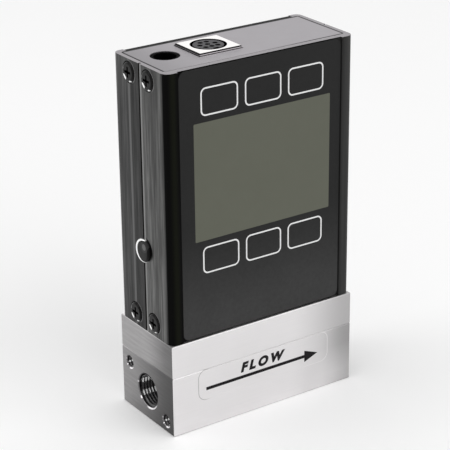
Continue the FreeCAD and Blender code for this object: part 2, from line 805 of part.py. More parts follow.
def front_shell():
    """The front half of the housing, recessed for the keypad film."""
    body = body_named("front_shell")
    plan = sketch_at(body, "Z", base_top, "front_shell_section")
    outline(plan, shell_outline("-" + half_depth, recess_face, recess_half, front_inside, -1))
    pad(plan, "Z", 1, f"TotalHeight - {base_top}")

    def is_outer_corner(edge):
        spot = middle(edge)
        return is_upright(edge) and near(abs(spot.x), half_width) and near(spot.y, "-" + half_depth)

    def is_inner_corner(edge):
        spot = middle(edge)
        return is_upright(edge) and near(abs(spot.x), side_inside) and near(spot.y, front_inside)

    rounded(body, "front_corners", "FrontCorner", is_outer_corner)
    rounded(body, "front_inner_corners", "InnerCorner", is_inner_corner)
    window = sketch_at(body, "Y", recess_face, "display_window")
    rectangle(window, "-DisplayWidth / 2 - WindowMargin", "DisplayWidth / 2 + WindowMargin",
              f"{display_centre} - DisplayHeight / 2 - WindowMargin",
              f"{display_centre} + DisplayHeight / 2 + WindowMargin")
    pocket(window, "Y", 1, "FrontWall")
    keys = sketch_at(body, "Y", recess_face, "key_holes")
    for height in (low_keys, top_keys):
        for across in ("-KeyPitch", "0", "KeyPitch"):
            circle(keys, across, height, "KeyHole")
    pocket(keys, "Y", 1, "FrontWall")
    screw_seats(body, front_screws)
    plug_notch(body)


def rear_shell():
    """The rear half of the housing, with a rail down each rear corner."""
    body = body_named("rear_shell")
    plan = sketch_at(body, "Z", base_top, "rear_shell_section")
    rail = f"({half_width} - RearRailWidth)"
    outline(plan, shell_outline(half_depth, rear_outside, rail, rear_inside, 1))
    pad(plan, "Z", 1, f"TotalHeight - {base_top}")

    def is_outer_corner(edge):
        spot = middle(edge)
        return is_upright(edge) and near(abs(spot.x), half_width) and near(spot.y, half_depth)

    def is_inner_corner(edge):
        spot = middle(edge)
        return is_upright(edge) and near(abs(spot.x), side_inside) and near(spot.y, rear_inside)

    rounded(body, "rear_corners", "RearCorner", is_outer_corner)
    rounded(body, "rear_inner_corners", "InnerCorner", is_inner_corner)
    screw_seats(body, rear_screws)
    plug_notch(body)


def shell_screws():
    """Eight low cross-recessed screws, four through each side of the housing."""
    body = body_named("shell_screws")
    head = sketch_at(body, "X", "-" + screw_seat, "pan_head")
    circle(head, front_screws, low_screws, "ScrewHead")
    pad(head, "X", -1, "ScrewHeadHeight")
    crown = f"-{screw_seat} - ScrewHeadHeight"
    rounded(body, "head_dome", "ScrewDome", lambda edge: near(middle(edge).x, crown))
    shank = sketch_at(body, "X", "-" + screw_seat, "shank")
    circle(shank, front_screws, low_screws, "ScrewShank")
    pad(shank, "X", 1, "ScrewReach")
    cross = sketch_at(body, "X", crown, "cross_recess")
    reach = ("CrossArm", "CrossHalf")
    corners = []
    for across, up in ((-1, -1), (1, -1), (1, 1), (-1, 1)):
        arm = (f"{front_screws} + {across} * {reach[1]}", f"{low_screws} + {up} * {reach[0]}")
        root = (f"{front_screws} + {across} * {reach[1]}", f"{low_screws} + {up} * {reach[1]}")
        side = (f"{front_screws} + {across} * {reach[0]}", f"{low_screws} + {up} * {reach[1]}")
        corners += [arm, root, side] if across == up else [side, root, arm]
    start = corners[:3]
    outline(cross, start[::-1] + corners[3:6][::-1] + corners[6:9][::-1] + corners[9:12][::-1])
    pocket(cross, "X", 1, "CrossDepth")
    repeated(body, "screw_front_rear", "Y_Axis", f"{rear_screws} - {front_screws}")
    repeated(body, "screw_low_high", "Z_Axis", f"{top_screws} - {low_screws}")
    mirrored(body, "screw_left_right", "YZ_Plane")


def top_plate():
    """The plate that closes the housing, with a flange down each side."""
    body = body_named("top_plate")
    edge = f"({side_inside} - FitGap)"
    plan = sketch_at(body, "Z", plate_under, "plate_plan")
    rectangle(plan, "-" + edge, edge, f"{front_inside} + FitGap", f"{rear_inside} - FitGap")
    pad(plan, "Z", 1, "TopPlate")
    rounded(body, "plate_corners", "InnerCorner", is_upright)
    flanges = sketch_at(body, "Z", plate_under, "flange_plan")
    for side in ("-", ""):
        near_edge = f"{side}{edge}"
        far_edge = f"{side}({edge} - FlangeThickness)"
        left, right = (near_edge, far_edge) if side else (far_edge, near_edge)
        rectangle(flanges, left, right, f"{front_inside} + FitGap + FlangeInset",
                  f"{rear_inside} - FitGap - FlangeInset")
    pad(flanges, "Z", -1, "FlangeDrop - TopPlate")
    threads = sketch_at(body, "X", "-" + edge, "flange_threads")
    for across in (front_screws, rear_screws):
        circle(threads, across, top_screws, "ScrewShank + ThreadPlay")
    thread_cut = pocket(threads, "X", 1, "FlangeThickness")
    mirrored(body, "other_flange_threads", "YZ_Plane", [thread_cut])
    jack = sketch_at(body, "Z", plate_under, "jack_hole")
    circle(jack, jack_x, jack_y, "JackCollar + ThreadPlay")
    pocket(jack, "Z", 1, "TopPlate")
    din = sketch_at(body, "Z", plate_under, "din_opening")
    rectangle(din, f"{din_x} - DinWidth / 2 - DinPlay", f"{din_x} + DinWidth / 2 + DinPlay",
              f"{din_y} - DinDepth / 2 - DinPlay", f"{din_y} + DinDepth / 2 + DinPlay")
    pocket(din, "Z", 1, "TopPlate")


def power_jack():
    """The barrel socket for the supply, and the pin in its middle."""
    body = body_named("power_jack")
    case = sketch_at(body, "Z", connector_low, "jack_case")
    rectangle(case, f"{jack_x} - JackBlock / 2", f"{jack_x} + JackBlock / 2",
              f"{jack_y} - JackBlock / 2", f"{jack_y} + JackBlock / 2")
    pad(case, "Z", 1, "ConnectorHeight")
    collar = sketch_at(body, "Z", plate_under, "jack_collar")
    circle(collar, jack_x, jack_y, "JackCollar")
    pad(collar, "Z", 1, "TopPlate - JackSink")
    bore = sketch_at(body, "Z", "TotalHeight - JackSink", "jack_bore")
    circle(bore, jack_x, jack_y, "JackBore")
    pocket(bore, "Z", -1, "JackBoreDepth")

    pin = body_named("jack_pin")
    shaft = sketch_at(pin, "Z", "TotalHeight - JackSink - JackBoreDepth", "pin_section")
    circle(shaft, jack_x, jack_y, "JackPin")
    pad(shaft, "Z", 1, "JackSink + JackBoreDepth - JackPinSink")
    tip = "TotalHeight - JackPinSink"
    rounded(pin, "pin_tip", "JackPin / 2", lambda edge: near(middle(edge).z, tip))


def din_pins():
    """Centres of the eight contacts: three rows of three, three and two, front to rear."""
    places = []
    for row, count, pitch in ((-1, 3, "DinRowPitch"), (0, 3, "DinPinPitch"), (1, 2, "DinRowPitch")):
        for index in range(count):
            step = index - (count - 1) / 2
            places.append((f"{din_x} + {step} * {pitch}", f"{din_y} + {row} * DinRowPitch"))
    return places


def mini_din():
    """The round eight-way connector: metal shell, insulating core and contacts."""
    shell = body_named("mini_din_shell")
    case = sketch_at(shell, "Z", connector_low, "din_case")
    rectangle(case, f"{din_x} - DinWidth / 2", f"{din_x} + DinWidth / 2",
              f"{din_y} - DinDepth / 2", f"{din_y} + DinDepth / 2")
    pad(case, "Z", 1, "ConnectorHeight + TopPlate + DinProud")
    top = "(TotalHeight + DinProud)"
    bevelled(shell, "din_edge", "DinEdge", lambda edge: near(middle(edge).z, top))
    socket = sketch_at(shell, "Z", top, "din_socket")
    circle(socket, din_x, din_y, "DinSocket")
    pocket(socket, "Z", -1, "DinSocketDepth")

    core = body_named("mini_din_core")
    floor = f"({top} - DinSocketDepth)"
    drum = sketch_at(core, "Z", floor, "core_section")
    circle(drum, din_x, din_y, "DinCore")
    pad(drum, "Z", 1, "DinSocketDepth - DinCoreSink")
    key = sketch_at(core, "Z", f"{top} - DinCoreSink", "key_slot")
    rectangle(key, f"{din_x} - DinKeyWidth / 2", f"{din_x} + DinKeyWidth / 2",
              f"{din_y} - DinCore - DinKeyDepth", f"{din_y} - DinCore + DinKeyDepth")
    pocket(key, "Z", -1, "DinSocketDepth - DinCoreSink")
    holes = sketch_at(core, "Z", f"{top} - DinCoreSink", "contact_holes")
    for across, up in din_pins():
        circle(holes, across, up, "DinPinHole")
    pocket(holes, "Z", -1, "DinSocketDepth - DinCoreSink")

    contacts = []
    for index, (across, up) in enumerate(din_pins()):
        contacts.append(rod("contact_%d" % (index + 1), "Z", (across, up, floor),
                            "DinContact", "DinSocketDepth - DinCoreSink - DinPinDepth"))
    sub_part(group("mini_din_contacts", contacts))


def side_plug():
    """The soft domed plug that closes the hole on the housing seam."""
    body = body_named("side_plug")
    wall = "-" + half_width
    head = sketch_at(body, "X", wall, "plug_head")
    circle(head, "SeamPlace", "PlugRise", "PlugHead")
    pad(head, "X", -1, "PlugProud")
    rounded(body, "plug_dome", "PlugRound", lambda edge: near(middle(edge).x, wall + " - PlugProud"))
    stem = sketch_at(body, "X", wall, "plug_stem")
    circle(stem, "SeamPlace", "PlugRise", "PlugStem")
    pad(stem, "X", 1, "SideWall + FitGap")
    inner = f"(-{side_inside} + FitGap)"
    barb = sketch_at(body, "X", inner, "plug_barb")
    circle(barb, "SeamPlace", "PlugRise", "PlugBarb")
    pad(barb, "X", 1, "PlugBarbLength")
    bevelled(body, "barb_taper", "PlugBarbTaper",
             lambda edge: near(middle(edge).x, inner + " + PlugBarbLength"))


def keypad_film():
    """The printed film over the front, in its recess between the two rails."""
    body = body_named("keypad_film")
    face = sketch_at(body, "Y", recess_face, "film_outline")
    rectangle(face, "-" + film_half, film_half,
              f"{base_top} + FilmEdgeGap", "TotalHeight - FilmEdgeGap")
    pad(face, "Y", -1, "FilmThickness")

    def is_corner(edge):
        return isinstance(edge.Curve, Part.Line) and abs(abs(edge.Curve.Direction.y) - 1) < 1e-6

    rounded(body, "film_corners", "FilmCorner", is_corner)


def display():
    """Gasket, glass panel and backlight behind the display window."""
    frame = body_named("display_gasket")
    face = sketch_at(frame, "Y", front_inside, "gasket_face")
    rectangle(face, "-" + panel_half, panel_half, panel_low, panel_high)
    rectangle(face, f"-{panel_half} + GasketWidth", f"{panel_half} - GasketWidth",
              f"{panel_low} + GasketWidth", f"{panel_high} - GasketWidth")
    pad(face, "Y", 1, "GasketThickness")

    panel = body_named("display_panel")
    glass = sketch_at(panel, "Y", panel_front, "panel_face")
    rectangle(glass, "-" + panel_half, panel_half, panel_low, panel_high)
    pad(glass, "Y", 1, "PanelThickness")
    bevelled(panel, "panel_edges", "EdgeBreak", lambda edge: near(middle(edge).y, panel_front))

    sub_part(block("display_backlight", "-" + panel_half, panel_half,
                   panel_back, display_board_front, panel_low, panel_high))


def board_with_holes(label, axis_face, thickness, low, high, hole_heights):
    """An upright circuit board with rounded corners and four screw holes."""
    body = body_named(label)
    face = sketch_at(body, "Y", axis_face, label + "_face")
    rectangle(face, "-" + board_half, board_half, low, high)
    pad(face, "Y", 1, thickness)

    def is_corner(edge):
        return isinstance(edge.Curve, Part.Line) and abs(abs(edge.Curve.Direction.y) - 1) < 1e-6

    rounded(body, label + "_corners", "BoardCorner", is_corner)
    holes = sketch_at(body, "Y", axis_face, label + "_holes")
    for height in hole_heights:
        for across in ("-" + spacer_x, spacer_x):
            circle(holes, across, height, "BoardHoleRadius")
    pocket(holes, "Y", 1, thickness)


def spacers(label, near_face, far_face, heights):
    """Four hexagonal spacers between a shell wall and a board."""
    body = body_named(label)
    hexagon = sketch_at(body, "Y", near_face, label + "_hexagon")
    regular_outline(hexagon, "-" + spacer_x, heights[0], "SpacerHalf / cos(30)", 6)
    pad(hexagon, "Y", 1, f"{far_face} - {near_face}")
    bore = sketch_at(body, "Y", near_face, label + "_bore")
    circle(bore, "-" + spacer_x, heights[0], "SpacerBore")
    pocket(bore, "Y", 1, f"{far_face} - {near_face}")
    repeated(body, label + "_upper", "Z_Axis", f"({heights[1]}) - ({heights[0]})")
    mirrored(body, label + "_right", "YZ_Plane")


def board_screws(label, seat, direction, heights):
    """Four pan-head screws that hold a board to its spacers."""
    body = body_named(label)
    head = sketch_at(body, "Y", seat, label + "_head")
    circle(head, "-" + spacer_x, heights[0], "BoardScrewHead")
    pad(head, "Y", direction, "BoardScrewHeight")
    crown = f"{seat} + {direction} * BoardScrewHeight"
    rounded(body, label + "_dome", "BoardScrewHeight / 2", lambda edge: near(middle(edge).y, crown))
    shank = sketch_at(body, "Y", seat, label + "_shank")
    circle(shank, "-" + spacer_x, heights[0], "BoardScrewShank")
    pad(shank, "Y", -direction, "BoardScrewLength")
    repeated(body, label + "_upper", "Z_Axis", f"({heights[1]}) - ({heights[0]})")
    mirrored(body, label + "_right", "YZ_Plane")


def boards():
    """Display board, main board, connector board and the headers between them."""
    heights = (f"({display_board_low} + SpacerRise)", f"({display_board_high} - SpacerRise)")
    board_with_holes("display_board", display_board_front, "DisplayBoardThickness",
                     display_board_low, display_board_high, heights)
    spacers("display_spacers", front_inside, display_board_front, heights)
    board_screws("display_board_screws", display_board_back, 1, heights)

    heights = (f"({main_board_low} + SpacerRise)", f"({main_board_high} - SpacerRise)")
    board_with_holes("main_board", main_board_front, "MainBoardThickness",
                     main_board_low, main_board_high, heights)
    spacers("main_board_spacers", main_board_back, rear_inside, heights)
    board_screws("main_board_screws", main_board_front, -1, heights)

    sub_part(block("connector_board", f"{jack_x} - JackBlock / 2 - ConnectorBoardMargin",
                   f"{din_x} + DinWidth / 2 + ConnectorBoardMargin",
                   f"{din_y} - DinDepth / 2", f"{din_y} + DinDepth / 2",
                   connector_board_low, connector_low))
    sub_part(block("connector_header", f"{din_x} - HeaderWidth / 2", f"{din_x} + HeaderWidth / 2",
                   f"{main_board_front} - HeaderDepth", main_board_front,
                   f"{connector_board_low} - HeaderHeight", connector_board_low))
    sub_part(block("board_link", "-LinkWidth / 2", "LinkWidth / 2",
                   display_board_back, main_board_front,
                   f"{link_centre} - LinkHeight / 2", f"{link_centre} + LinkHeight / 2"))
    chips = []
    for across in ("-ChipSide", "ChipSide"):
        chips.append(block("chip", f"{across} - ChipSide / 2", f"{across} + ChipSide / 2",
                           main_board_back, f"{main_board_back} + ChipHeight",
                           f"{link_centre} - ChipSide / 2", f"{link_centre} + ChipSide / 2"))
    sub_part(group("main_board_chips", chips))


def keys():
    """Six tactile switches on the display board and the stems that press them."""
    switches = body_named("key_switches")
    face = sketch_at(switches, "Y", switch_face, "switch_cases")
    wells = sketch_at(switches, "Y", switch_face, "switch_wells")
    well_depth = "KeyStemDepth + 2 * KeyTravel"
    for height in (low_keys, top_keys):
        for across in ("-KeyPitch", "0", "KeyPitch"):
            rectangle(face, f"{across} - SwitchSide / 2", f"{across} + SwitchSide / 2",
                      f"{height} - SwitchSide / 2", f"{height} + SwitchSide / 2")
            circle(wells, across, height, "KeyStem + KeyRunning")
    pad(face, "Y", 1, "SwitchHeight")

    def is_corner(edge):
        return isinstance(edge.Curve, Part.Line) and abs(abs(edge.Curve.Direction.y) - 1) < 1e-6

    bevelled(switches, "switch_corners", "SwitchEdge", is_corner)
    pocket(wells, "Y", 1, well_depth)

    count = 0
    for height in (top_keys, low_keys):
        for across in ("-KeyPitch", "0", "KeyPitch"):
            count += 1
            stem = body_named("key_stem_%d" % count)
            section = sketch_at(stem, "Y", f"{switch_face} + KeyStemDepth", "stem_section")
            circle(section, across, height, "KeyStem")
            pad(section, "Y", -1, f"{switch_face} + KeyStemDepth - {recess_face} - KeyRunning")
            tip = f"{recess_face} + KeyRunning"
            bevelled(stem, "stem_tip", "KeyTipEdge", lambda edge: near(middle(edge).y, tip))


def check(objects):
    """Stops with a plain message where a feature failed or a shape is not sound."""
    for item in doc.Objects:
        if "Invalid" in item.State or "Error" in item.State:
            raise ValueError("failed feature: %s" % item.Label)
    for piece in objects:
        if piece.Shape.isNull() or not piece.Shape.isValid():
            raise ValueError("unsound shape: %s" % piece.Label)


flow_body()
laminar_element()
seal_rings("block_seal_rings", "BlockHeight - CordRadius")
manifold()
manifold_screws()
seal_rings("sensor_seal_rings", f"{plinth_top} - CordRadius")
sensor_block()
gas_sensors()
front_shell()
rear_shell()
shell_screws()
top_plate()
power_jack()
mini_din()
side_plug()
keypad_film()
display()
boards()
keys()
doc.recompute()
check(sub_parts)
os.makedirs("parts", exist_ok=True)
for piece in sub_parts:
    piece.Shape.exportStep("parts/%s.step" % piece.Label)
    print(piece.Label, len(piece.Shape.Solids), round(piece.Shape.Volume, 1))
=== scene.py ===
"""Looks of a compact gas mass flow meter: a steel flow body and manifold with threaded
ports, two brushed aluminium shells, a membrane keypad with its display, and power and
signal sockets in the top plate. Metres; the display looks towards -Y, Z is up."""
import bpy
import math
from mathutils import Matrix, Vector


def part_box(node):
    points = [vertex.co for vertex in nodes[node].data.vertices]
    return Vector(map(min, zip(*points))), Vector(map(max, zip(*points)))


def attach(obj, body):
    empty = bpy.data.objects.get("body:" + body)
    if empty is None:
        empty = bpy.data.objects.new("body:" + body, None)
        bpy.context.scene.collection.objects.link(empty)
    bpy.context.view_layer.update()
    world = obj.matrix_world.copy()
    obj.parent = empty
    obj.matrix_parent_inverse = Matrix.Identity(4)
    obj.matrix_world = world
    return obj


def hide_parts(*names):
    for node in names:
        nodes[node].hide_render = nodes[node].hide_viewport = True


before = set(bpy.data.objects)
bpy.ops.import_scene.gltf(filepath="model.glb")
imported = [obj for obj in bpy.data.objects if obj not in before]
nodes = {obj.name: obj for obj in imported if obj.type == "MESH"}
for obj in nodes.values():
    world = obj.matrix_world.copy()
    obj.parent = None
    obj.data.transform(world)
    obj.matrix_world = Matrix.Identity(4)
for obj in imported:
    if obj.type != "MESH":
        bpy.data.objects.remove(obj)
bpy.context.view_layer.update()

# Camera: above and left of the display, on a long lens, so that the uprights of the
# housing stay nearly parallel. Its place is given round a point halfway up the meter.
camera_azimuth = math.radians(-33.984)
camera_elevation = math.radians(22.84)
camera_roll = math.radians(-0.674)
camera_distance = 0.48727
camera_aim = Vector((0, 0, 0.05))
camera_slide = (-0.0032026, 0.0014116)
look = Vector((-math.sin(camera_azimuth) * math.cos(camera_elevation),
               math.cos(camera_azimuth) * math.cos(camera_elevation),
               -math.sin(camera_elevation)))
level_right = look.cross(Vector((0, 0, 1))).normalized()
level_up = level_right.cross(look)
right = level_right * math.cos(camera_roll) + level_up * math.sin(camera_roll)
up = level_up * math.cos(camera_roll) - level_right * math.sin(camera_roll)
camera = bpy.data.objects.new("camera", bpy.data.cameras.new("camera"))
bpy.context.scene.collection.objects.link(camera)
spot = camera_aim - look * camera_distance + right * camera_slide[0] + up * camera_slide[1]
camera.matrix_world = Matrix.Translation(spot) @ Matrix((right, up, -look)).transposed().to_4x4()
camera.data.sensor_width = 36
camera.data.lens = 139.4
camera.data.clip_start = 0.01
bpy.context.scene.camera = camera
bpy.context.scene.view_settings.view_transform = "Standard"


# Studio: a plain pale table under the meter and a white room round it. Mirrors and the
# camera see the room at full white; as a light it is only a dim, even fill.
def add(tree, kind, inputs=None, **settings):
    """One shader node, with its settings and its inputs' values or links."""
    made = tree.nodes.new(kind)
    for name, value in settings.items():
        setattr(made, name, value)
    for name, value in (inputs or {}).items():
        socket = made.inputs[name]
        if isinstance(value, bpy.types.NodeSocket):
            tree.links.new(value, socket)
        else:
            socket.default_value = value
    return made


def both(tree, one, other, operation="MULTIPLY"):
    """One value from two."""
    return add(tree, "ShaderNodeMath", {0: one, 1: other}, operation=operation).outputs[0]


def mixed(tree, factor, low, high):
    """A colour blended between two others."""
    blend = add(tree, "ShaderNodeMix", {"Factor": factor, "A": low, "B": high}, data_type="RGBA")
    return blend.outputs["Result"]


room = bpy.data.worlds.new("white_room")
bpy.context.scene.world = room
room.use_nodes = True
tree = room.node_tree
tree.nodes.clear()
rays = add(tree, "ShaderNodeLightPath").outputs
seen = both(tree, rays["Is Camera Ray"], rays["Is Glossy Ray"], "MAXIMUM")
seen = both(tree, seen, rays["Is Transmission Ray"], "MAXIMUM")
fill = add(tree, "ShaderNodeBackground", {"Color": (1, 1, 1, 1), "Strength": 0.52})
white = add(tree, "ShaderNodeBackground", {"Color": (1, 1, 1, 1), "Strength": 1})
room_mix = add(tree, "ShaderNodeMixShader", {0: seen, 1: fill.outputs[0], 2: white.outputs[0]})
add(tree, "ShaderNodeOutputWorld", {"Surface": room_mix.outputs[0]})

bpy.ops.object.select_all(action="DESELECT")
bpy.ops.mesh.primitive_plane_add(size=6)
table = bpy.context.object
table.name = "table"
table_paint = bpy.data.materials.new("table_paint")
table_paint.use_nodes = True
tree = table_paint.node_tree
paint = tree.nodes["Principled BSDF"]
paint.inputs["Roughness"].default_value = 0.9
paint.inputs["Specular IOR Level"].default_value = 0.1
position = add(tree, "ShaderNodeTexCoord").outputs["Object"]
cloud = add(tree, "ShaderNodeTexNoise", {"Vector": position, "Scale": 3})
tone = mixed(tree, cloud.outputs[0], (0.98, 0.98, 0.98, 1), (0.995, 0.995, 0.995, 1))
tree.links.new(tone, paint.inputs["Base Color"])
table.data.materials.append(table_paint)


# Lamps: three wide soft boxes. The largest stands ahead of the display and to its right,
# so the front is bright, the inlet side falls away and the shadow lies behind.
def soft_box(name, place, width, height, power):
    """One rectangular lamp that faces the meter."""
    lamp = bpy.data.lights.new(name, "AREA")
    lamp.shape = "RECTANGLE"
    lamp.size = width
    lamp.size_y = height
    lamp.energy = power
    stand = bpy.data.objects.new(name, lamp)
    bpy.context.scene.collection.objects.link(stand)
    aim = (camera_aim - Vector(place)).to_track_quat("-Z", "Y")
    stand.matrix_world = Matrix.LocRotScale(Vector(place), aim, None)


soft_box("key_box", (0.5, -1.6, 1.1), 2.2, 1.6, 15.4)
soft_box("top_box", (-0.1, 0.2, 1.6), 1.6, 1.6, 9)
soft_box("left_box", (-1.5, 0.6, 0.9), 0.9, 0.9, 4)


# Flow body and manifold: two blocks of stainless bar, screwed together on a plain joint.
# Their long faces are ground and brushed along the gas path; the end faces are milled,
# painted darker towards the front as shade, and drilled for the gas and for two fixing
# screws each. The long faces, bevels, hole rims and bores carry painted light and shade.
def new_group(name, inputs, outputs):
    """A shader node group with its sockets, and what its input node gives out."""
    group = bpy.data.node_groups.new(name, "ShaderNodeTree")
    for side, sockets in (("INPUT", inputs), ("OUTPUT", outputs)):
        for socket, kind in sockets.items():
            group.interface.new_socket(socket, in_out=side, socket_type="NodeSocket" + kind)
    return group, add(group, "NodeGroupInput").outputs


def vectors(tree, operation, *values):
    """What an operation on one or two vectors gives."""
    made = add(tree, "ShaderNodeVectorMath", dict(enumerate(values)), operation=operation)
    return made.outputs


def scaled(tree, colour, factor):
    """A colour made lighter or darker, all over or by a mask."""
    made = add(tree, "ShaderNodeVectorMath", {0: colour, "Scale": factor}, operation="SCALE")
    return made.outputs[0]


def under(tree, value, limit):
    """1 where a value is under a limit, and 0 elsewhere."""
    return both(tree, value, limit, "LESS_THAN")


marks, given = new_group("surface_marks", {"Stretch": "Vector", "Cloud Size": "Float"},
                         {"Streaks": "Float", "Clouds": "Float"})
position = add(marks, "ShaderNodeTexCoord").outputs["Object"]
drawn = vectors(marks, "MULTIPLY", position, given["Stretch"])[0]
streak = add(marks, "ShaderNodeTexNoise",
             {"Vector": drawn, "Scale": 1, "Detail": 6, "Roughness": 0.65})
cloud = add(marks, "ShaderNodeTexNoise",
            {"Vector": position, "Scale": given["Cloud Size"], "Detail": 3})
add(marks, "NodeGroupOutput", {"Streaks": streak.outputs[0], "Clouds": cloud.outputs[0]})

drift, given = new_group("tone_drift",
                         {"Colour": "Color", "Along": "Vector", "Start": "Float",
                          "End": "Float", "Start Tone": "Float", "End Tone": "Float"},
                         {"Colour": "Color"})
position = add(drift, "ShaderNodeTexCoord").outputs["Object"]
reach = vectors(drift, "DOT_PRODUCT", position, given["Along"])["Value"]
tone = add(drift, "ShaderNodeMapRange",
           {"Value": reach, "From Min": given["Start"], "From Max": given["End"],
            "To Min": given["Start Tone"], "To Max": given["End Tone"]},
           interpolation_type="SMOOTHSTEP")
add(drift, "NodeGroupOutput", {"Colour": scaled(drift, given["Colour"], tone.outputs[0])})

near_axis, given = new_group("near_axis",
                             {"Centre": "Vector", "Radius": "Float", "Toward": "Vector"},
                             {"Inside": "Float", "Facing": "Float"})
position = add(near_axis, "ShaderNodeTexCoord").outputs["Object"]
offset = vectors(near_axis, "SUBTRACT", position, given["Centre"])[0]
across = vectors(near_axis, "MULTIPLY", offset, (0, 1, 1))[0]
distance = vectors(near_axis, "LENGTH", across)["Value"]
inside = under(near_axis, distance, given["Radius"])
direction = vectors(near_axis, "NORMALIZE", across)[0]
toward = vectors(near_axis, "DOT_PRODUCT", direction, given["Toward"])["Value"]
add(near_axis, "NodeGroupOutput", {"Inside": inside, "Facing": toward})


def from_group(tree, group, **values):
    """One of the groups above in a material, with the values for its own inputs."""
    made = add(tree, "ShaderNodeGroup", node_tree=group)
    for name, value in values.items():
        made.inputs[name.replace("_", " ").title()].default_value = value
    return made


def marked(tree, stretch, cloud_size):
    """Streaks drawn out by three factors, and clouds of one size."""
    return from_group(tree, marks, stretch=stretch, cloud_size=cloud_size).outputs


def drifted(tree, colour, along, start, end, start_tone, end_tone):
    """A colour that grows lighter or darker along a direction of the meter."""
    made = from_group(tree, drift, along=along, start=start, end=end,
                      start_tone=start_tone, end_tone=end_tone)
    tree.links.new(colour, made.inputs["Colour"])
    return made.outputs["Colour"]


def around(tree, centre, radius=0.001, toward=(0, 0, 1)):
    """Masks round an axis along X: within a radius of it, and facing a direction from it."""
    return from_group(tree, near_axis, centre=centre, radius=radius, toward=toward).outputs


def ranged(tree, value, low, high, low_to=0, high_to=1):
    """A value carried from one range to another and held at its ends."""
    return add(tree, "ShaderNodeMapRange", {"Value": value, "From Min": low, "From Max": high,
                                            "To Min": low_to, "To Max": high_to}).outputs[0]


def off(tree, value, middle):
    """How far a value is from a middle one, to either side."""
    return both(tree, both(tree, value, middle, "SUBTRACT"), 1, "ABSOLUTE")


def parts(tree, kind, output):
    """The three parts of a vector, without their signs first and with them after."""
    source = add(tree, kind).outputs[output]
    size = vectors(tree, "ABSOLUTE", source)[0]
    return [add(tree, "ShaderNodeSeparateXYZ", {0: vector}).outputs for vector in (size, source)]


def places(tree):
    """Where on the meter a point lies."""
    return parts(tree, "ShaderNodeTexCoord", "Object")


def normals(tree):
    """Which way the face under a point looks."""
    return parts(tree, "ShaderNodeNewGeometry", "True Normal")


def finish(name, light, dark, stretch=(500, 500, 500), metallic=0, roughness=(0.5, 0.6),
           bump=0.05, cloud_size=60, streak_part=0.6, specular=0.5):
    """A material that varies between two colours along its marks and clouds."""
    material = bpy.data.materials.new(name)
    material.use_nodes = True
    tree = material.node_tree
    surface = tree.nodes["Principled BSDF"]
    surface.inputs["Metallic"].default_value = metallic
    surface.inputs["Specular IOR Level"].default_value = specular
    pattern = marked(tree, stretch, cloud_size)
    blend = add(tree, "ShaderNodeMix", {"Factor": streak_part, "A": pattern["Clouds"],
                                        "B": pattern["Streaks"]}, data_type="FLOAT")
    spread = ranged(tree, blend.outputs["Result"], 0.3, 0.7)
    relief = add(tree, "ShaderNodeBump", {"Height": pattern["Streaks"], "Strength": bump,
                                          "Distance": 0.0001})
    tree.links.new(mixed(tree, spread, (*dark, 1), (*light, 1)), surface.inputs["Base Color"])
    tree.links.new(ranged(tree, spread, 0, 1, *roughness), surface.inputs["Roughness"])
    tree.links.new(relief.outputs[0], surface.inputs["Normal"])
    return material


def base_colour(material):
    """A finish's node tree, its colour input and the colour that feeds it."""
    socket = material.node_tree.nodes["Principled BSDF"].inputs["Base Color"]
    return material.node_tree, socket, socket.links[0].from_socket


def paint_node(name, material):
    """Gives a node of the frame its finish."""
    nodes[name].data.materials.clear()
    nodes[name].data.materials.append(material)


port_height, port_radius = 0.0087, 0.00503
end_hole_across, end_hole_rise, end_hole_radius = 0.00935, 0.00525, 0.00174
end_holes = {"upper": (end_hole_across, port_height + end_hole_rise),
             "lower": (-end_hole_across, port_height - end_hole_rise)}
hole_centres = [(0, port_height, port_radius)]
hole_centres += [(*end_hole, end_hole_radius) for end_hole in end_holes.values()]
# Round each hole: painted shade on the mouth chamfer, painted highlights on its rim in given
# directions, and painted shade down the bore.
rim_width, rim_highlight_width = 0.00022, 0.00045
rim_painted_highlights = (((0, -0.46, -0.89), 0.8, 0.92),
              ((0, 0.72, -0.69), 0.992, 0.996),
              ((0, 0.98, 0.17), 0.992, 0.996))
rim_colour, rim_highlight_colour = (0.17, 0.165, 0.17, 1), (0.95, 0.93, 0.95, 1)
bore_shade_colour = (0.03, 0.029, 0.03, 1)
brushing, milling = (60, 900, 2500), (2500, 90, 1600)
along_gas, to_rear, upward = (1, 0, 0), (0, 1, 0), (0, 0, 1)
# Painted light and shade along the ground faces: darker towards the outlet end, lighter then darker
# along the low block.
outlet_painted_shade = (0.008, 0.031, 1, 0.62)
low_painted_light, low_painted_shade = (0.014, 0.0215, 1, 1.17), (0.0235, 0.031, 1, 0.82)
high_fade_start, high_fade_end = 0.0195, 0.0295
low_up_to, high_from = 0.004, 0.0125
# Painted shade on the ground faces' bevels and a painted highlight on the milled ends' bevels.
ground_bevel_shade_tone, milled_bevel_highlight_tone = 0.78, 1.3


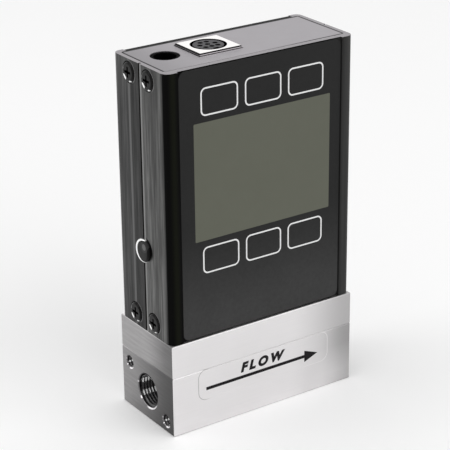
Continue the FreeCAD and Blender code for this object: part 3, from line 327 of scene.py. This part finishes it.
def block_finish(name, cloud_size, high_painted_shade_tone, end_painted_shade):
    """Ground steel on the long faces, milled steel on the ends, with painted light and shade on
    faces, bevels, hole rims and bores.
    """
    material = finish(name, (0.80, 0.785, 0.79), (0.745, 0.73, 0.735), brushing, metallic=1,
                      roughness=(0.36, 0.44), bump=0.08, cloud_size=cloud_size, streak_part=0.45)
    tree, socket, steel = base_colour(material)
    _, place = places(tree)
    facing, _ = normals(tree)
    # Painted light and shade: the ground faces darken towards the outlet, the milled ends towards
    # the front.
    ground = drifted(tree, steel, along_gas, *outlet_painted_shade)
    low_ground = drifted(tree, ground, along_gas, *low_painted_light)
    low_ground = drifted(tree, low_ground, along_gas, *low_painted_shade)
    high_ground = drifted(tree, ground, along_gas, high_fade_start, high_fade_end, 1,
                          high_painted_shade_tone)
    is_high = ranged(tree, place["Z"], low_up_to, high_from)
    ground = mixed(tree, is_high, low_ground, high_ground)
    scratches = ranged(tree, marked(tree, milling, 90)["Streaks"], 0.3, 0.7, 0.86, 1.12)
    milled = drifted(tree, scaled(tree, steel, scratches), to_rear, *end_painted_shade)
    # Bevels: painted shade on ground steel, painted highlight on milled steel.
    is_edge = both(tree, ranged(tree, facing["Z"], 0.5, 0.6), ranged(tree, facing["Z"], 0.9, 0.8))
    ground = mixed(tree, is_edge, ground, scaled(tree, ground, ground_bevel_shade_tone))
    milled = mixed(tree, is_edge, milled, scaled(tree, milled, milled_bevel_highlight_tone))
    endward = both(tree, facing["Z"], both(tree, facing["X"], 3), "ADD")
    colour = mixed(tree, ranged(tree, endward, 2.3, 2.6), ground, milled)
    # Painted shade on each chamfer and bore, painted highlights on each rim.
    for across, up, radius in hole_centres:
        centre = (0, across, up)
        rim = around(tree, centre, radius + rim_width)["Inside"]
        colour = mixed(tree, rim, colour, rim_colour)
        for toward, starts, full in rim_painted_highlights:
            wide_rim = around(tree, centre, radius + rim_highlight_width, toward)
            shine = both(tree, wide_rim["Inside"], ranged(tree, wide_rim["Facing"], starts, full))
            colour = mixed(tree, shine, colour, rim_highlight_colour)
        bore = around(tree, centre, radius)["Inside"]
        colour = mixed(tree, bore, colour, bore_shade_colour)
    tree.links.new(colour, socket)
    return material


paint_node("flow_body", block_finish("flow_body_steel", cloud_size=45, high_painted_shade_tone=0.72,
                                     end_painted_shade=(-0.0133, 0.0133, 0.105, 0.41)))
paint_node("manifold", block_finish("manifold_steel", cloud_size=57, high_painted_shade_tone=0.92,
                                    end_painted_shade=(-0.0125, 0.002, 0.22, 0.50)))


# Threads: the ports are tapped 27 threads to the inch and the end holes 32. Each thread is
# one V ridge cut round its hole in the steel, from the mouth chamfer to a blind end.
def in_edit(mode):
    """Leaves edit mode or enters it with one kind of element to pick."""
    if mode is None:
        bpy.ops.object.mode_set(mode="OBJECT")
    else:
        bpy.ops.object.mode_set(mode="EDIT")
        bpy.ops.mesh.select_mode(type=mode)


def pick(piece, test):
    """Selects the vertices of a piece that pass a test, and nothing else."""
    bpy.ops.mesh.select_all(action="DESELECT")
    bpy.ops.object.mode_set(mode="OBJECT")
    for vertex in piece.data.vertices:
        vertex.select = test(vertex)
    bpy.ops.object.mode_set(mode="EDIT")


def settle(piece):
    """Applies a piece's modifiers and its place, so that its object sits at the origin."""
    for modifier in list(piece.modifiers):
        bpy.ops.object.modifier_apply(modifier=modifier.name)
    bpy.ops.object.transform_apply(location=True, rotation=True, scale=True)


def fresh(name, operator, **settings):
    """A new primitive with nothing else selected."""
    bpy.ops.object.select_all(action="DESELECT")
    operator(**settings)
    piece = bpy.context.object
    piece.name = name
    piece.data.name = name
    return piece


def join_meter(piece, material):
    """Gives a finished piece its material and fixes it to the meter."""
    piece.data.materials.clear()
    piece.data.materials.append(material)
    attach(piece, "meter")


port_thread = {"root": 0.00498, "crest": 0.00432, "pitch": 0.00094, "depth": 0.0098}
end_hole_thread = {"root": 0.0017, "crest": 0.00133, "pitch": 0.00079, "depth": 0.0066}
# Directions from each hole's axis in which the thread crests carry painted highlights.
port_crest_highlights = ((0, 0.84, -0.54), (0, 0.96, 0.28))
end_hole_crest_highlights = ((0, 0.9, -0.43), (0, -0.3, -0.95))
port_crest_reach, end_hole_crest_reach = 0.00472, 0.00162
# Painted shade on the inward flanks and painted highlights on the crests.
inward_shade_colour, crest_highlight_colour = (0.004, 0.004, 0.004, 1), (1, 1, 1, 1)
mouth_chamfer = 0.00025
thread_steps = 40


def thread_finish(name, across, up, crest_reach, shines):
    """Cut steel painted dark as shade in the hole, inward flanks painted near black, and painted
    highlights on the crests along lines of the hole.
    """
    material = finish(name, (0.1, 0.098, 0.1), (0.05, 0.049, 0.05), (900, 400, 400),
                      metallic=0.5, roughness=(0.22, 0.3))
    tree, socket, steel = base_colour(material)
    _, place = places(tree)
    _, facing = normals(tree)
    end = add(tree, "ShaderNodeMath", {0: place["X"]}, operation="SIGN").outputs[0]
    outward = ranged(tree, both(tree, facing["X"], end), -0.2, 0.2)
    colour = mixed(tree, outward, inward_shade_colour, steel)
    crests = around(tree, (0, across, up), crest_reach)["Inside"]
    for toward in shines:
        facing_line = around(tree, (0, across, up), toward=toward)["Facing"]
        shine = both(tree, crests, ranged(tree, facing_line, 0.982, 0.991))
        colour = mixed(tree, shine, colour, crest_highlight_colour)
    tree.links.new(colour, socket)
    return material


def cut_thread(name, mouth, across, up, side, material, root, crest, pitch, depth):
    """One internal thread: a V profile turned into a helix from outside the hole to its end."""
    piece = fresh(name, bpy.ops.mesh.primitive_plane_add, size=pitch,
                  location=(mouth + side * pitch, across, up))
    in_edit("VERT")
    pick(piece, lambda vertex: vertex.co.y > 0)
    bpy.ops.mesh.delete(type="VERT")
    bpy.ops.mesh.select_all(action="SELECT")
    bpy.ops.transform.translate(value=(0, root + pitch / 2, 0))
    bpy.ops.mesh.subdivide(number_cuts=1)
    pick(piece, lambda vertex: abs(vertex.co.x) < pitch / 8)
    bpy.ops.transform.translate(value=(0, crest - root, 0))
    in_edit(None)
    helix = piece.modifiers.new("helix", "SCREW")
    helix.axis = "X"
    helix.steps = thread_steps
    helix.render_steps = thread_steps
    helix.iterations = int(depth / pitch) + 1
    helix.screw_offset = -side * pitch
    helix.use_smooth_shade = False
    helix.use_merge_vertices = True
    helix.merge_threshold = 1e-7
    settle(piece)
    in_edit("VERT")
    bpy.ops.mesh.select_all(action="SELECT")
    bpy.ops.mesh.remove_doubles(threshold=1e-7)
    bpy.ops.mesh.bisect(plane_co=(mouth, 0, 0), plane_no=(side, 0, 0), clear_outer=True)
    bpy.ops.mesh.select_all(action="SELECT")
    bpy.ops.mesh.normals_make_consistent(inside=True)
    in_edit(None)
    join_meter(piece, material)


block_low, block_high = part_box("flow_body")
port_steel = thread_finish("port_thread_steel", 0, port_height, port_crest_reach, port_crest_highlights)
hole_steels = {level: thread_finish("hole_thread_steel_" + level, *end_hole,
                                    end_hole_crest_reach, end_hole_crest_highlights)
               for level, end_hole in end_holes.items()}
for end, side in (("inlet", -1), ("outlet", 1)):
    mouth = side * (block_high.x - mouth_chamfer)
    cut_thread(end + "_port_thread", mouth, 0, port_height, side, port_steel, **port_thread)
    for level, end_hole in end_holes.items():
        cut_thread(end + "_hole_thread_" + level, mouth, *end_hole, side, hole_steels[level],
                   **end_hole_thread)

# Flow mark: a black arrow with the word FLOW over it, printed on a clear label that is
# stuck to the front of the flow body; the label's rounded rim is drawn as a painted highlight.
front = block_low.y
print_height = 0.00002
label_width, label_height, label_middle = 0.0446, 0.0095, 0.0132
label_corner, label_line = 0.0026, 0.00016
label_rim_painted_highlight = (-0.0215, -0.0175, 0.6, 1.22)
arrow_tail, arrow_neck, arrow_tip, arrow_height = -0.0197, 0.014, 0.01865, 0.0118
shaft_half, head_half = 0.00048, 0.0018
word_left, word_right, word_low, word_high = -0.0081, 0.0072, 0.0132, 0.0163
upright = (math.pi / 2, 0, 0)


def stand_on_front(piece, material):
    """Gives a flat print its small thickness and its ink, and joins it to the meter."""
    thick = piece.modifiers.new("thickness", "SOLIDIFY")
    thick.thickness = print_height
    thick.offset = 1
    settle(piece)
    in_edit("FACE")
    bpy.ops.mesh.select_all(action="SELECT")
    bpy.ops.mesh.normals_make_consistent(inside=False)
    in_edit(None)
    join_meter(piece, material)


def upright_sheet(name, centre, width, height):
    """A flat rectangle that stands parallel to the display."""
    sheet = fresh(name, bpy.ops.mesh.primitive_plane_add, size=1, rotation=upright, location=centre)
    sheet.scale = (width, height, 1)
    bpy.ops.object.transform_apply(location=True, rotation=True, scale=True)
    in_edit("VERT")
    return sheet


def round_corners(corner, segments):
    """Rounds the corners of the sheet that is being edited."""
    bpy.ops.mesh.select_all(action="SELECT")
    bpy.ops.mesh.bevel(offset=corner, segments=segments, affect="VERTICES")


def outline(name, centre, width, height, corner, line, material):
    """A printed line round a rectangle with round corners."""
    piece = upright_sheet(name, centre, width, height)
    round_corners(corner, 8)
    in_edit("FACE")
    bpy.ops.mesh.select_all(action="SELECT")
    bpy.ops.mesh.inset(thickness=line)
    bpy.ops.mesh.delete(type="FACE")
    in_edit(None)
    stand_on_front(piece, material)


label_ink = finish("label_ink", (0.012, 0.011, 0.012), (0.007, 0.006, 0.007), (800, 800, 800),
                   roughness=(0.45, 0.55), bump=0.02, specular=0.08)
# The label rim is a painted highlight, metal-coloured and lighter away from its inlet end.
label_rim = finish("label_rim", (0.66, 0.645, 0.65), (0.6, 0.59, 0.59), (600, 600, 600),
                   metallic=1, roughness=(0.38, 0.46), bump=0.02)
tree, socket, colour = base_colour(label_rim)
tree.links.new(drifted(tree, colour, along_gas, *label_rim_painted_highlight), socket)
outline("flow_label_rim", (0, front, label_middle), label_width, label_height, label_corner,
        label_line, label_rim)

arrow = upright_sheet("flow_arrow", ((arrow_tail + arrow_neck) / 2, front, arrow_height),
                      arrow_neck - arrow_tail, 2 * shaft_half)
pick(arrow, lambda vertex: vertex.co.x > 0)
bpy.ops.mesh.extrude_region_move(TRANSFORM_OT_translate={"value": (0, 0, 0)})
bpy.ops.transform.resize(value=(1, 1, head_half / shaft_half),
                         center_override=(arrow_neck, front, arrow_height))
bpy.ops.mesh.extrude_region_move(TRANSFORM_OT_translate={"value": (arrow_tip - arrow_neck, 0, 0)})
bpy.ops.mesh.merge(type="CENTER")
in_edit(None)
stand_on_front(arrow, label_ink)

word = fresh("flow_word", bpy.ops.object.text_add, rotation=upright, location=(0, front, 0))
word.data.body = "FLOW"
word.data.size = 0.004
word.data.shear = 0.25
word.data.offset = 0.00026
word.data.space_character = 1.5
bpy.ops.object.convert(target="MESH")
bpy.ops.object.transform_apply(location=True, rotation=True, scale=True)
lows = [min(vertex.co[axis] for vertex in word.data.vertices) for axis in (0, 2)]
highs = [max(vertex.co[axis] for vertex in word.data.vertices) for axis in (0, 2)]
grow = ((word_right - word_left) / (highs[0] - lows[0]), 1,
        (word_high - word_low) / (highs[1] - lows[1]))
in_edit("VERT")
bpy.ops.mesh.select_all(action="SELECT")
bpy.ops.transform.translate(value=(word_left - lows[0], 0, word_low - lows[1]))
bpy.ops.transform.resize(value=grow, center_override=(word_left, front, word_low))
bpy.ops.mesh.remove_doubles(threshold=1e-6)
in_edit(None)
stand_on_front(word, label_ink)

# Housing shells: two aluminium extrusions, anodised dark and then brushed up and down
# their flat sides. They meet on a seam between two rows of screws; rails and corners are
# dark anodise painted darker still as shade, the sawn ends show paler metal, and the sides
# carry painted light and shade.
shell_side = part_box("front_shell")[1].x
rear_wall_thickness, rear_wall_half = 0.0019, 0.0272
rear_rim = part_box("rear_shell")[1].y - rear_wall_thickness
screw_rows, screw_levels = (-0.00435, 0.0049), (0.0313, 0.10075)
seat_radius, seat_rim_radius, seat_rim_highlight_colour = 0.0029, 0.00325, (0.2, 0.2, 0.2, 1)
plug_low, plug_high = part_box("side_plug")
plug_middle = (plug_low + plug_high) / 2
painted_plug_shadow_radius, painted_plug_shadow_colour = 0.0043, (0.006, 0.006, 0.006, 1)
strip_middle, strip_outer, strip_inner = -0.0281, 0.0013, 0.0003
corner_strip_shade_colour = (0.006, 0.0066, 0.004, 1)
rail_shade_tone, rail_painted_highlight, back_tone = 0.024, (0.022, 0.0302, 1, 20), 0.3
sawn_colour = (0.3, 0.285, 0.3, 1)
side_scratches = (((1500, 1500, 60), 0.6, 1.45), ((260, 260, 16), 0.72, 1.3))


def over(tree, value, limit):
    """1 where a value is over a limit, and 0 elsewhere."""
    return both(tree, value, limit, "GREATER_THAN")


def shell_finish(name, light, dark, drifts, bands):
    """Brushed sides with painted light and shade, rails and corners painted near black as shade, a
    dark back, and pale sawn ends.
    """
    material = finish(name, light, dark, (700, 700, 12), metallic=0.9, roughness=(0.34, 0.44),
                      bump=0.15, cloud_size=30, streak_part=0.8, specular=0.03)
    tree, socket, anodised = base_colour(material)
    place_size, place = places(tree)
    _, facing = normals(tree)
    brushed = anodised
    for stretch, darkest, lightest in side_scratches:
        streaks = marked(tree, stretch, 60)["Streaks"]
        brushed = scaled(tree, brushed, ranged(tree, streaks, 0.38, 0.62, darkest, lightest))
    for step in drifts:
        brushed = drifted(tree, brushed, *step)
    # Painted shadow of the side plug on the shell round its upper front, on the inlet side only.
    shade = around(tree, plug_middle, painted_plug_shadow_radius, (0, -0.8, 0.6))
    shaded = both(tree, shade["Inside"], ranged(tree, shade["Facing"], 0.3, 0.75))
    shaded = both(tree, shaded, under(tree, place["X"], 0))
    brushed = mixed(tree, shaded, brushed, painted_plug_shadow_colour)
    # Painted highlight on the front edge of each screw seat's rim.
    for row in screw_rows:
        for level in screw_levels:
            rim = around(tree, (0, row, level), seat_rim_radius, (0, -0.97, 0.2))
            seat = around(tree, (0, row, level), seat_radius)["Inside"]
            ring = both(tree, rim["Inside"], seat, "SUBTRACT")
            lit = both(tree, ring, ranged(tree, rim["Facing"], 0.3, 0.7))
            brushed = mixed(tree, lit, brushed, seat_rim_highlight_colour)
    # A lighter band along Y: on the front shell a painted highlight along the seam edge, on the
    # rear shell a lighter band along its screw row.
    for middle, half, band in bands:
        in_band = ranged(tree, off(tree, place["Y"], middle), half, half * 0.6)
        brushed = mixed(tree, in_band, brushed, (*band, 1))
    # Rails and corners: dark anodise painted near black as shade, a painted highlight towards the
    # outlet end, and a strip of painted shade down the inlet-side corner.
    black = drifted(tree, scaled(tree, anodised, rail_shade_tone), along_gas, *rail_painted_highlight)
    strip = ranged(tree, off(tree, place["X"], strip_middle), strip_outer, strip_inner)
    black = mixed(tree, strip, black, corner_strip_shade_colour)
    is_back = over(tree, facing["Y"], 0.8)
    black = mixed(tree, is_back, black, scaled(tree, brushed, back_tone))
    is_side = ranged(tree, place_size["X"], shell_side - 0.00012, shell_side - 0.0001)
    colour = mixed(tree, is_side, black, brushed)
    # The rear wall's top rim is left out of the pale sawn ends and stays near black: painted shade
    # of the gap behind the top plate.
    rear_wall = both(tree, over(tree, place["Y"], rear_rim),
                     under(tree, place_size["X"], rear_wall_half))
    is_sawn = both(tree, over(tree, facing["Z"], 0.8), rear_wall, "SUBTRACT")
    colour = mixed(tree, ranged(tree, is_sawn, 0.4, 0.6), colour, sawn_colour)
    bare = both(tree, both(tree, is_side, is_sawn, "MAXIMUM"), 0.9)
    tree.links.new(bare, tree.nodes["Principled BSDF"].inputs["Metallic"])
    tree.links.new(colour, socket)
    return material


# Each shell's drifts are painted light and shade across and up its side.
paint_node("front_shell", shell_finish(
    "front_shell_anodised", (0.135, 0.135, 0.133), (0.06, 0.06, 0.059),
    drifts=((to_rear, -0.0115, -0.0102, 0.3, 1), (to_rear, -0.0084, -0.0072, 1, 0.78),
            (to_rear, -0.0068, -0.0045, 1, 1.32), (upward, 0.07, 0.1, 1.04, 0.76)),
    bands=((-0.00095, 0.00046, (0.22, 0.22, 0.218)),)))
paint_node("rear_shell", shell_finish(
    "rear_shell_anodised", (0.082, 0.082, 0.082), (0.024, 0.024, 0.024),
    drifts=((to_rear, 0.001, 0.0105, 0.5, 1.12), (upward, 0.088, 0.105, 0.94, 1.2)),
    bands=((0.00495, 0.0006, (0.12, 0.12, 0.12)),)))

# Top plate: satin aluminium, a little below full white, painted darker towards the inlet end.
# It lies between the shells and is held by their upper screws; the narrow gap round it is
# painted on the plate's edges as a dark line of shade.
plate_painted_shade = (-0.029, -0.014, 0.78, 1.02)
end_gap_at, rear_gap_at, front_gap_at, gap_blur = 0.02852, 0.01028, -0.00985, 0.00006
gap_shade_colour = (0.02, 0.019, 0.02, 1)
plate = finish("satin_plate", (0.355, 0.34, 0.357), (0.325, 0.31, 0.327), (300, 300, 300),
               metallic=0.9, roughness=(0.45, 0.5))
tree, socket, colour = base_colour(plate)
place_size, place = places(tree)
colour = drifted(tree, colour, along_gas, *plate_painted_shade)
end_gap = ranged(tree, place_size["X"], end_gap_at, end_gap_at + gap_blur)
rear_gap = ranged(tree, place["Y"], rear_gap_at, rear_gap_at + gap_blur)
front_gap = ranged(tree, place["Y"], front_gap_at, front_gap_at - gap_blur)
front_gap = both(tree, front_gap, ranged(tree, place["X"], 0, 0.02))
gap = both(tree, both(tree, end_gap, rear_gap, "MAXIMUM"), front_gap, "MAXIMUM")
tree.links.new(mixed(tree, gap, colour, gap_shade_colour), socket)
paint_node("top_plate", plate)

# Housing screws: eight low pan heads in black oxide steel, four through each side of the
# shells. The same spots of every head carry painted glints.
oxide = finish("black_oxide", (0.016, 0.016, 0.016), (0.005, 0.005, 0.005), metallic=0.9,
               roughness=(0.16, 0.22), specular=0.2)
tree, socket, colour = base_colour(oxide)
# Painted glints on each head, given as offsets from its centre with a radius and a tone.
head_glints = ((0.0018, -0.0015, 0.0007, 1), (0.0012, -0.0018, 0.0005, 1),
                (-0.0012, -0.00265, 0.00062, 0.9), (0.0022, 0.0008, 0.0004, 0.12))
for row in screw_rows:
    for level in screw_levels:
        for across, up, radius, tone in head_glints:
            glint_spot = around(tree, (0, row + across, level + up), radius)["Inside"]
            colour = mixed(tree, glint_spot, colour, (tone, tone, tone, 1))
tree.links.new(colour, socket)
paint_node("shell_screws", oxide)

# Side plug: a soft black dome pressed into a hole on the seam of the inlet side, with
# painted shade on its front side, painted highlights on the dome and a painted highlight
# as a bright crescent round its back edge.
# Painted shade on the dome's front side and painted highlights on the dome.
shade_start, shade_end = plug_middle.y - 0.0034, plug_middle.y - 0.001
gleam_middle = plug_middle + Vector((0, -0.0013, 0.0015))
gleams = ((0.0016, 0.032), (0.0009, 0.12))
dome_middle, dome_radius = plug_middle + Vector((0, -0.00088, 0.00018)), 0.003
crescent_highlight_colour = (1, 1, 1, 1)
soft_black = finish("plug_rubber", (0.022, 0.022, 0.022), (0.01, 0.01, 0.01),
                    roughness=(0.25, 0.35), specular=0.1)
tree, socket, colour = base_colour(soft_black)
colour = drifted(tree, colour, to_rear, shade_start, shade_end, 0.1, 1)
for radius, tone in gleams:
    gleam = around(tree, gleam_middle, radius)["Inside"]
    colour = mixed(tree, gleam, colour, (tone, tone, tone, 1))
# Outside the dome: a white metallic crescent, a painted highlight round the plug's back edge.
dome = around(tree, dome_middle, dome_radius)["Inside"]
tree.links.new(mixed(tree, dome, crescent_highlight_colour, colour), socket)
tree.links.new(both(tree, 1, dome, "SUBTRACT"), tree.nodes["Principled BSDF"].inputs["Metallic"])
paint_node("side_plug", soft_black)

# Power socket: a black moulded case with a thin plated centre pin, soldered to the connector
# board. Its round collar comes up through the top plate and ends just under the surface.
paint_node("power_jack", finish("jack_plastic", (0.001, 0.001, 0.001), (0.0005, 0.0005, 0.0005),
                                roughness=(0.6, 0.7), specular=0.02))
# The plated pin is painted near black, as the shade down the socket.
paint_node("jack_pin", finish("jack_pin_shaded_plating", (0.03, 0.025, 0.015), (0.02, 0.016, 0.01),
                              metallic=1, roughness=(0.3, 0.4)))

# Signal socket: a nickel frame round an eight-way moulded core, soldered to the connector
# board and standing through the top plate. The core is level with its frame. The frame's
# walls and mouth are painted dark as shade, with a painted light band on the front wall.
socket_low, socket_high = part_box("mini_din_shell")
socket_middle = (socket_low + socket_high) / 2
# Painted light and shade on the frame: dark walls, a lighter band on the front wall, a dark line
# under the top of the end walls and a black mouth.
frame_band_drop, frame_band_half = 0.00042, 0.00012
frame_shade_height, frame_mouth_half = 0.0004, 0.0054
front_wall_shade_colour, front_band_painted_light = (0.2, 0.195, 0.2, 1), (0.6, 0.58, 0.59, 1)
end_wall_shade_colour, end_shade_colour = (0.3, 0.29, 0.3, 1), (0.01, 0.01, 0.01, 1)
mouth_shade_colour, frame_top_colour = (0.002, 0.002, 0.002, 1), (1, 0.98, 0.97, 1)
nickel = finish("bright_nickel", (0.92, 0.9, 0.89), (0.87, 0.85, 0.84), (400, 400, 400),
                metallic=1, roughness=(0.15, 0.22), bump=0.03)
tree, socket, colour = base_colour(nickel)
_, place = places(tree)
facing_size, facing = normals(tree)
in_band = under(tree, off(tree, place["Z"], socket_high.z - frame_band_drop), frame_band_half)
front_face = mixed(tree, in_band, front_wall_shade_colour, front_band_painted_light)
is_high = over(tree, place["Z"], socket_high.z - frame_shade_height)
end_face = mixed(tree, is_high, end_wall_shade_colour, end_shade_colour)
wall = mixed(tree, over(tree, facing_size["Y"], 0.9), end_face, front_face)
from_middle = both(tree, off(tree, place["X"], socket_middle.x),
                   off(tree, place["Y"], socket_middle.y), "MAXIMUM")
in_mouth = under(tree, from_middle, frame_mouth_half)
wall = mixed(tree, in_mouth, wall, mouth_shade_colour)
is_top = over(tree, facing["Z"], 0.9)
tree.links.new(mixed(tree, is_top, wall, frame_top_colour), socket)
paint_node("mini_din_shell", nickel)

core_radius, core_drop, face_margin = 0.0042, 0.00008, 0.00005
pin_hole_shade_colour = (0.003, 0.003, 0.003, 1)
pin_hole_radius, pin_hole_reach = 0.00074, 0.0052
key_notch_size, key_notch_forward = 0.0016, 0.0041
pin_places = [(across, -0.00175) for across in (-0.0019, 0, 0.0019)]
pin_places += [(across, 0.00035) for across in (-0.0024, 0, 0.0024)]
pin_places += [(across, 0.0024) for across in (-0.001, 0.001)]
core_low, core_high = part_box("mini_din_core")
core_middle = (core_low + core_high) / 2
core_top = socket_high.z - core_drop
core_plastic = finish("core_plastic", (0.06, 0.058, 0.062), (0.044, 0.042, 0.046), specular=0.25)
tree, socket, colour = base_colour(core_plastic)
_, place = places(tree)
_, facing = normals(tree)
# All but the core's top face, including the pin holes and key notch, is painted near black as
# shade.
is_face = both(tree, over(tree, facing["Z"], 0.9), over(tree, place["Z"], core_top - face_margin))
tree.links.new(mixed(tree, is_face, pin_hole_shade_colour, colour), socket)
core = fresh("mini_din_core_drilled", bpy.ops.mesh.primitive_cylinder_add, vertices=64,
             radius=core_radius, depth=core_top - core_low.z,
             location=(core_middle.x, core_middle.y, (core_top + core_low.z) / 2))
cutters = [fresh("drill", bpy.ops.mesh.primitive_cylinder_add, vertices=24, radius=pin_hole_radius,
                 depth=pin_hole_reach, location=(core_middle.x + x, core_middle.y + y, core_top))
           for x, y in pin_places]
cutters.append(fresh("key_cutter", bpy.ops.mesh.primitive_cube_add, size=key_notch_size,
                     location=(core_middle.x, core_middle.y - key_notch_forward, core_top)))
for cutter in cutters:
    bore = core.modifiers.new("bore", "BOOLEAN")
    bore.object = cutter
    bore.operation = "DIFFERENCE"
bpy.ops.object.select_all(action="DESELECT")
core.select_set(True)
bpy.context.view_layer.objects.active = core
settle(core)
for cutter in cutters:
    bpy.data.objects.remove(cutter)
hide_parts("mini_din_core")
join_meter(core, core_plastic)

# Keypad: one printed polyester film, glued into the front recess. It is black, with a clear
# window for the display and six outlined keys over the switches, and painted lighter
# towards its bottom as painted light.
film_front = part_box("keypad_film")[0].y
film_painted_light = (0.028, 0.062, 3.2, 1)
print_shift = 0.0004
film_print = finish("film_print", (0.014, 0.014, 0.014), (0.009, 0.009, 0.009), (900, 900, 900),
                    specular=0.15)
tree, socket, colour = base_colour(film_print)
tree.links.new(drifted(tree, colour, upward, *film_painted_light), socket)
paint_node("keypad_film", film_print)

window_width, window_height, window_corner = 0.0444, 0.0334, 0.0003
window_tint = finish("window_tint", (0.1, 0.104, 0.079), (0.094, 0.098, 0.074), (200, 200, 200),
                     roughness=(0.3, 0.36), bump=0.01, specular=0.25)
display_low, display_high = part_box("display_panel")
window_centre = (print_shift, film_front, (display_low.z + display_high.z) / 2)
window = upright_sheet("display_window", window_centre, window_width, window_height)
round_corners(window_corner, 4)
in_edit(None)
stand_on_front(window, window_tint)

key_width, key_height, key_corner, key_line = 0.0118, 0.0078, 0.0016, 0.00042
line_ink = finish("line_ink", (0.8, 0.8, 0.8), (0.7, 0.7, 0.7), (900, 900, 900), bump=0.02)
key_numbers = range(1, 7)
for number in key_numbers:
    stem_low, stem_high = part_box("key_stem_%d" % number)
    stem_middle = (stem_low + stem_high) / 2
    outline("key_outline_%d" % number, (stem_middle.x + print_shift, film_front, stem_middle.z),
            key_width, key_height, key_corner, key_line, line_ink)

# Inner pieces: boards, sensors, seals, spacers and screws, which the closed housing hides.
# Each kind has the plain finish of its own stock.
inner_finishes = {
    "solder_mask": (("sensor_board", "display_board", "main_board", "connector_board"),
                    (0.03, 0.2, 0.08), (0.02, 0.14, 0.055), 0, (0.3, 0.4)),
    "moulded_black": (("differential_sensor", "sensor_header", "connector_header", "board_link",
                       "main_board_chips", "key_switches"),
                      (0.03, 0.03, 0.03), (0.018, 0.018, 0.018), 0, (0.45, 0.6)),
    "key_stem_plastic": (tuple("key_stem_%d" % number for number in key_numbers),
                         (0.05, 0.05, 0.05), (0.03, 0.03, 0.03), 0, (0.4, 0.5)),
    "seal_rubber": (("block_seal_rings", "sensor_seal_rings", "display_gasket"),
                    (0.025, 0.025, 0.025), (0.015, 0.015, 0.015), 0, (0.5, 0.65)),
    "turned_steel": (("laminar_element", "temperature_probe", "manifold_screws",
                      "display_board_screws", "main_board_screws"),
                     (0.6, 0.59, 0.59), (0.45, 0.44, 0.44), 1, (0.25, 0.38)),
    "sensor_can": (("absolute_sensor", "sensor_block"),
                   (0.62, 0.62, 0.63), (0.5, 0.5, 0.51), 1, (0.3, 0.42)),
    "turned_brass": (("gallery_plugs", "display_spacers", "main_board_spacers",
                      "mini_din_contacts"),
                     (0.78, 0.6, 0.3), (0.62, 0.46, 0.2), 1, (0.25, 0.4)),
    "display_glass": (("display_panel",),
                      (0.13, 0.135, 0.1), (0.11, 0.115, 0.085), 0, (0.08, 0.14)),
    "diffuser": (("display_backlight",),
                 (0.8, 0.82, 0.75), (0.72, 0.74, 0.68), 0, (0.5, 0.6)),
}
for name, (pieces, light, dark, metallic, roughness) in inner_finishes.items():
    inner = finish(name, light, dark, (450, 450, 450), metallic, roughness)
    for piece in pieces:
        paint_node(piece, inner)
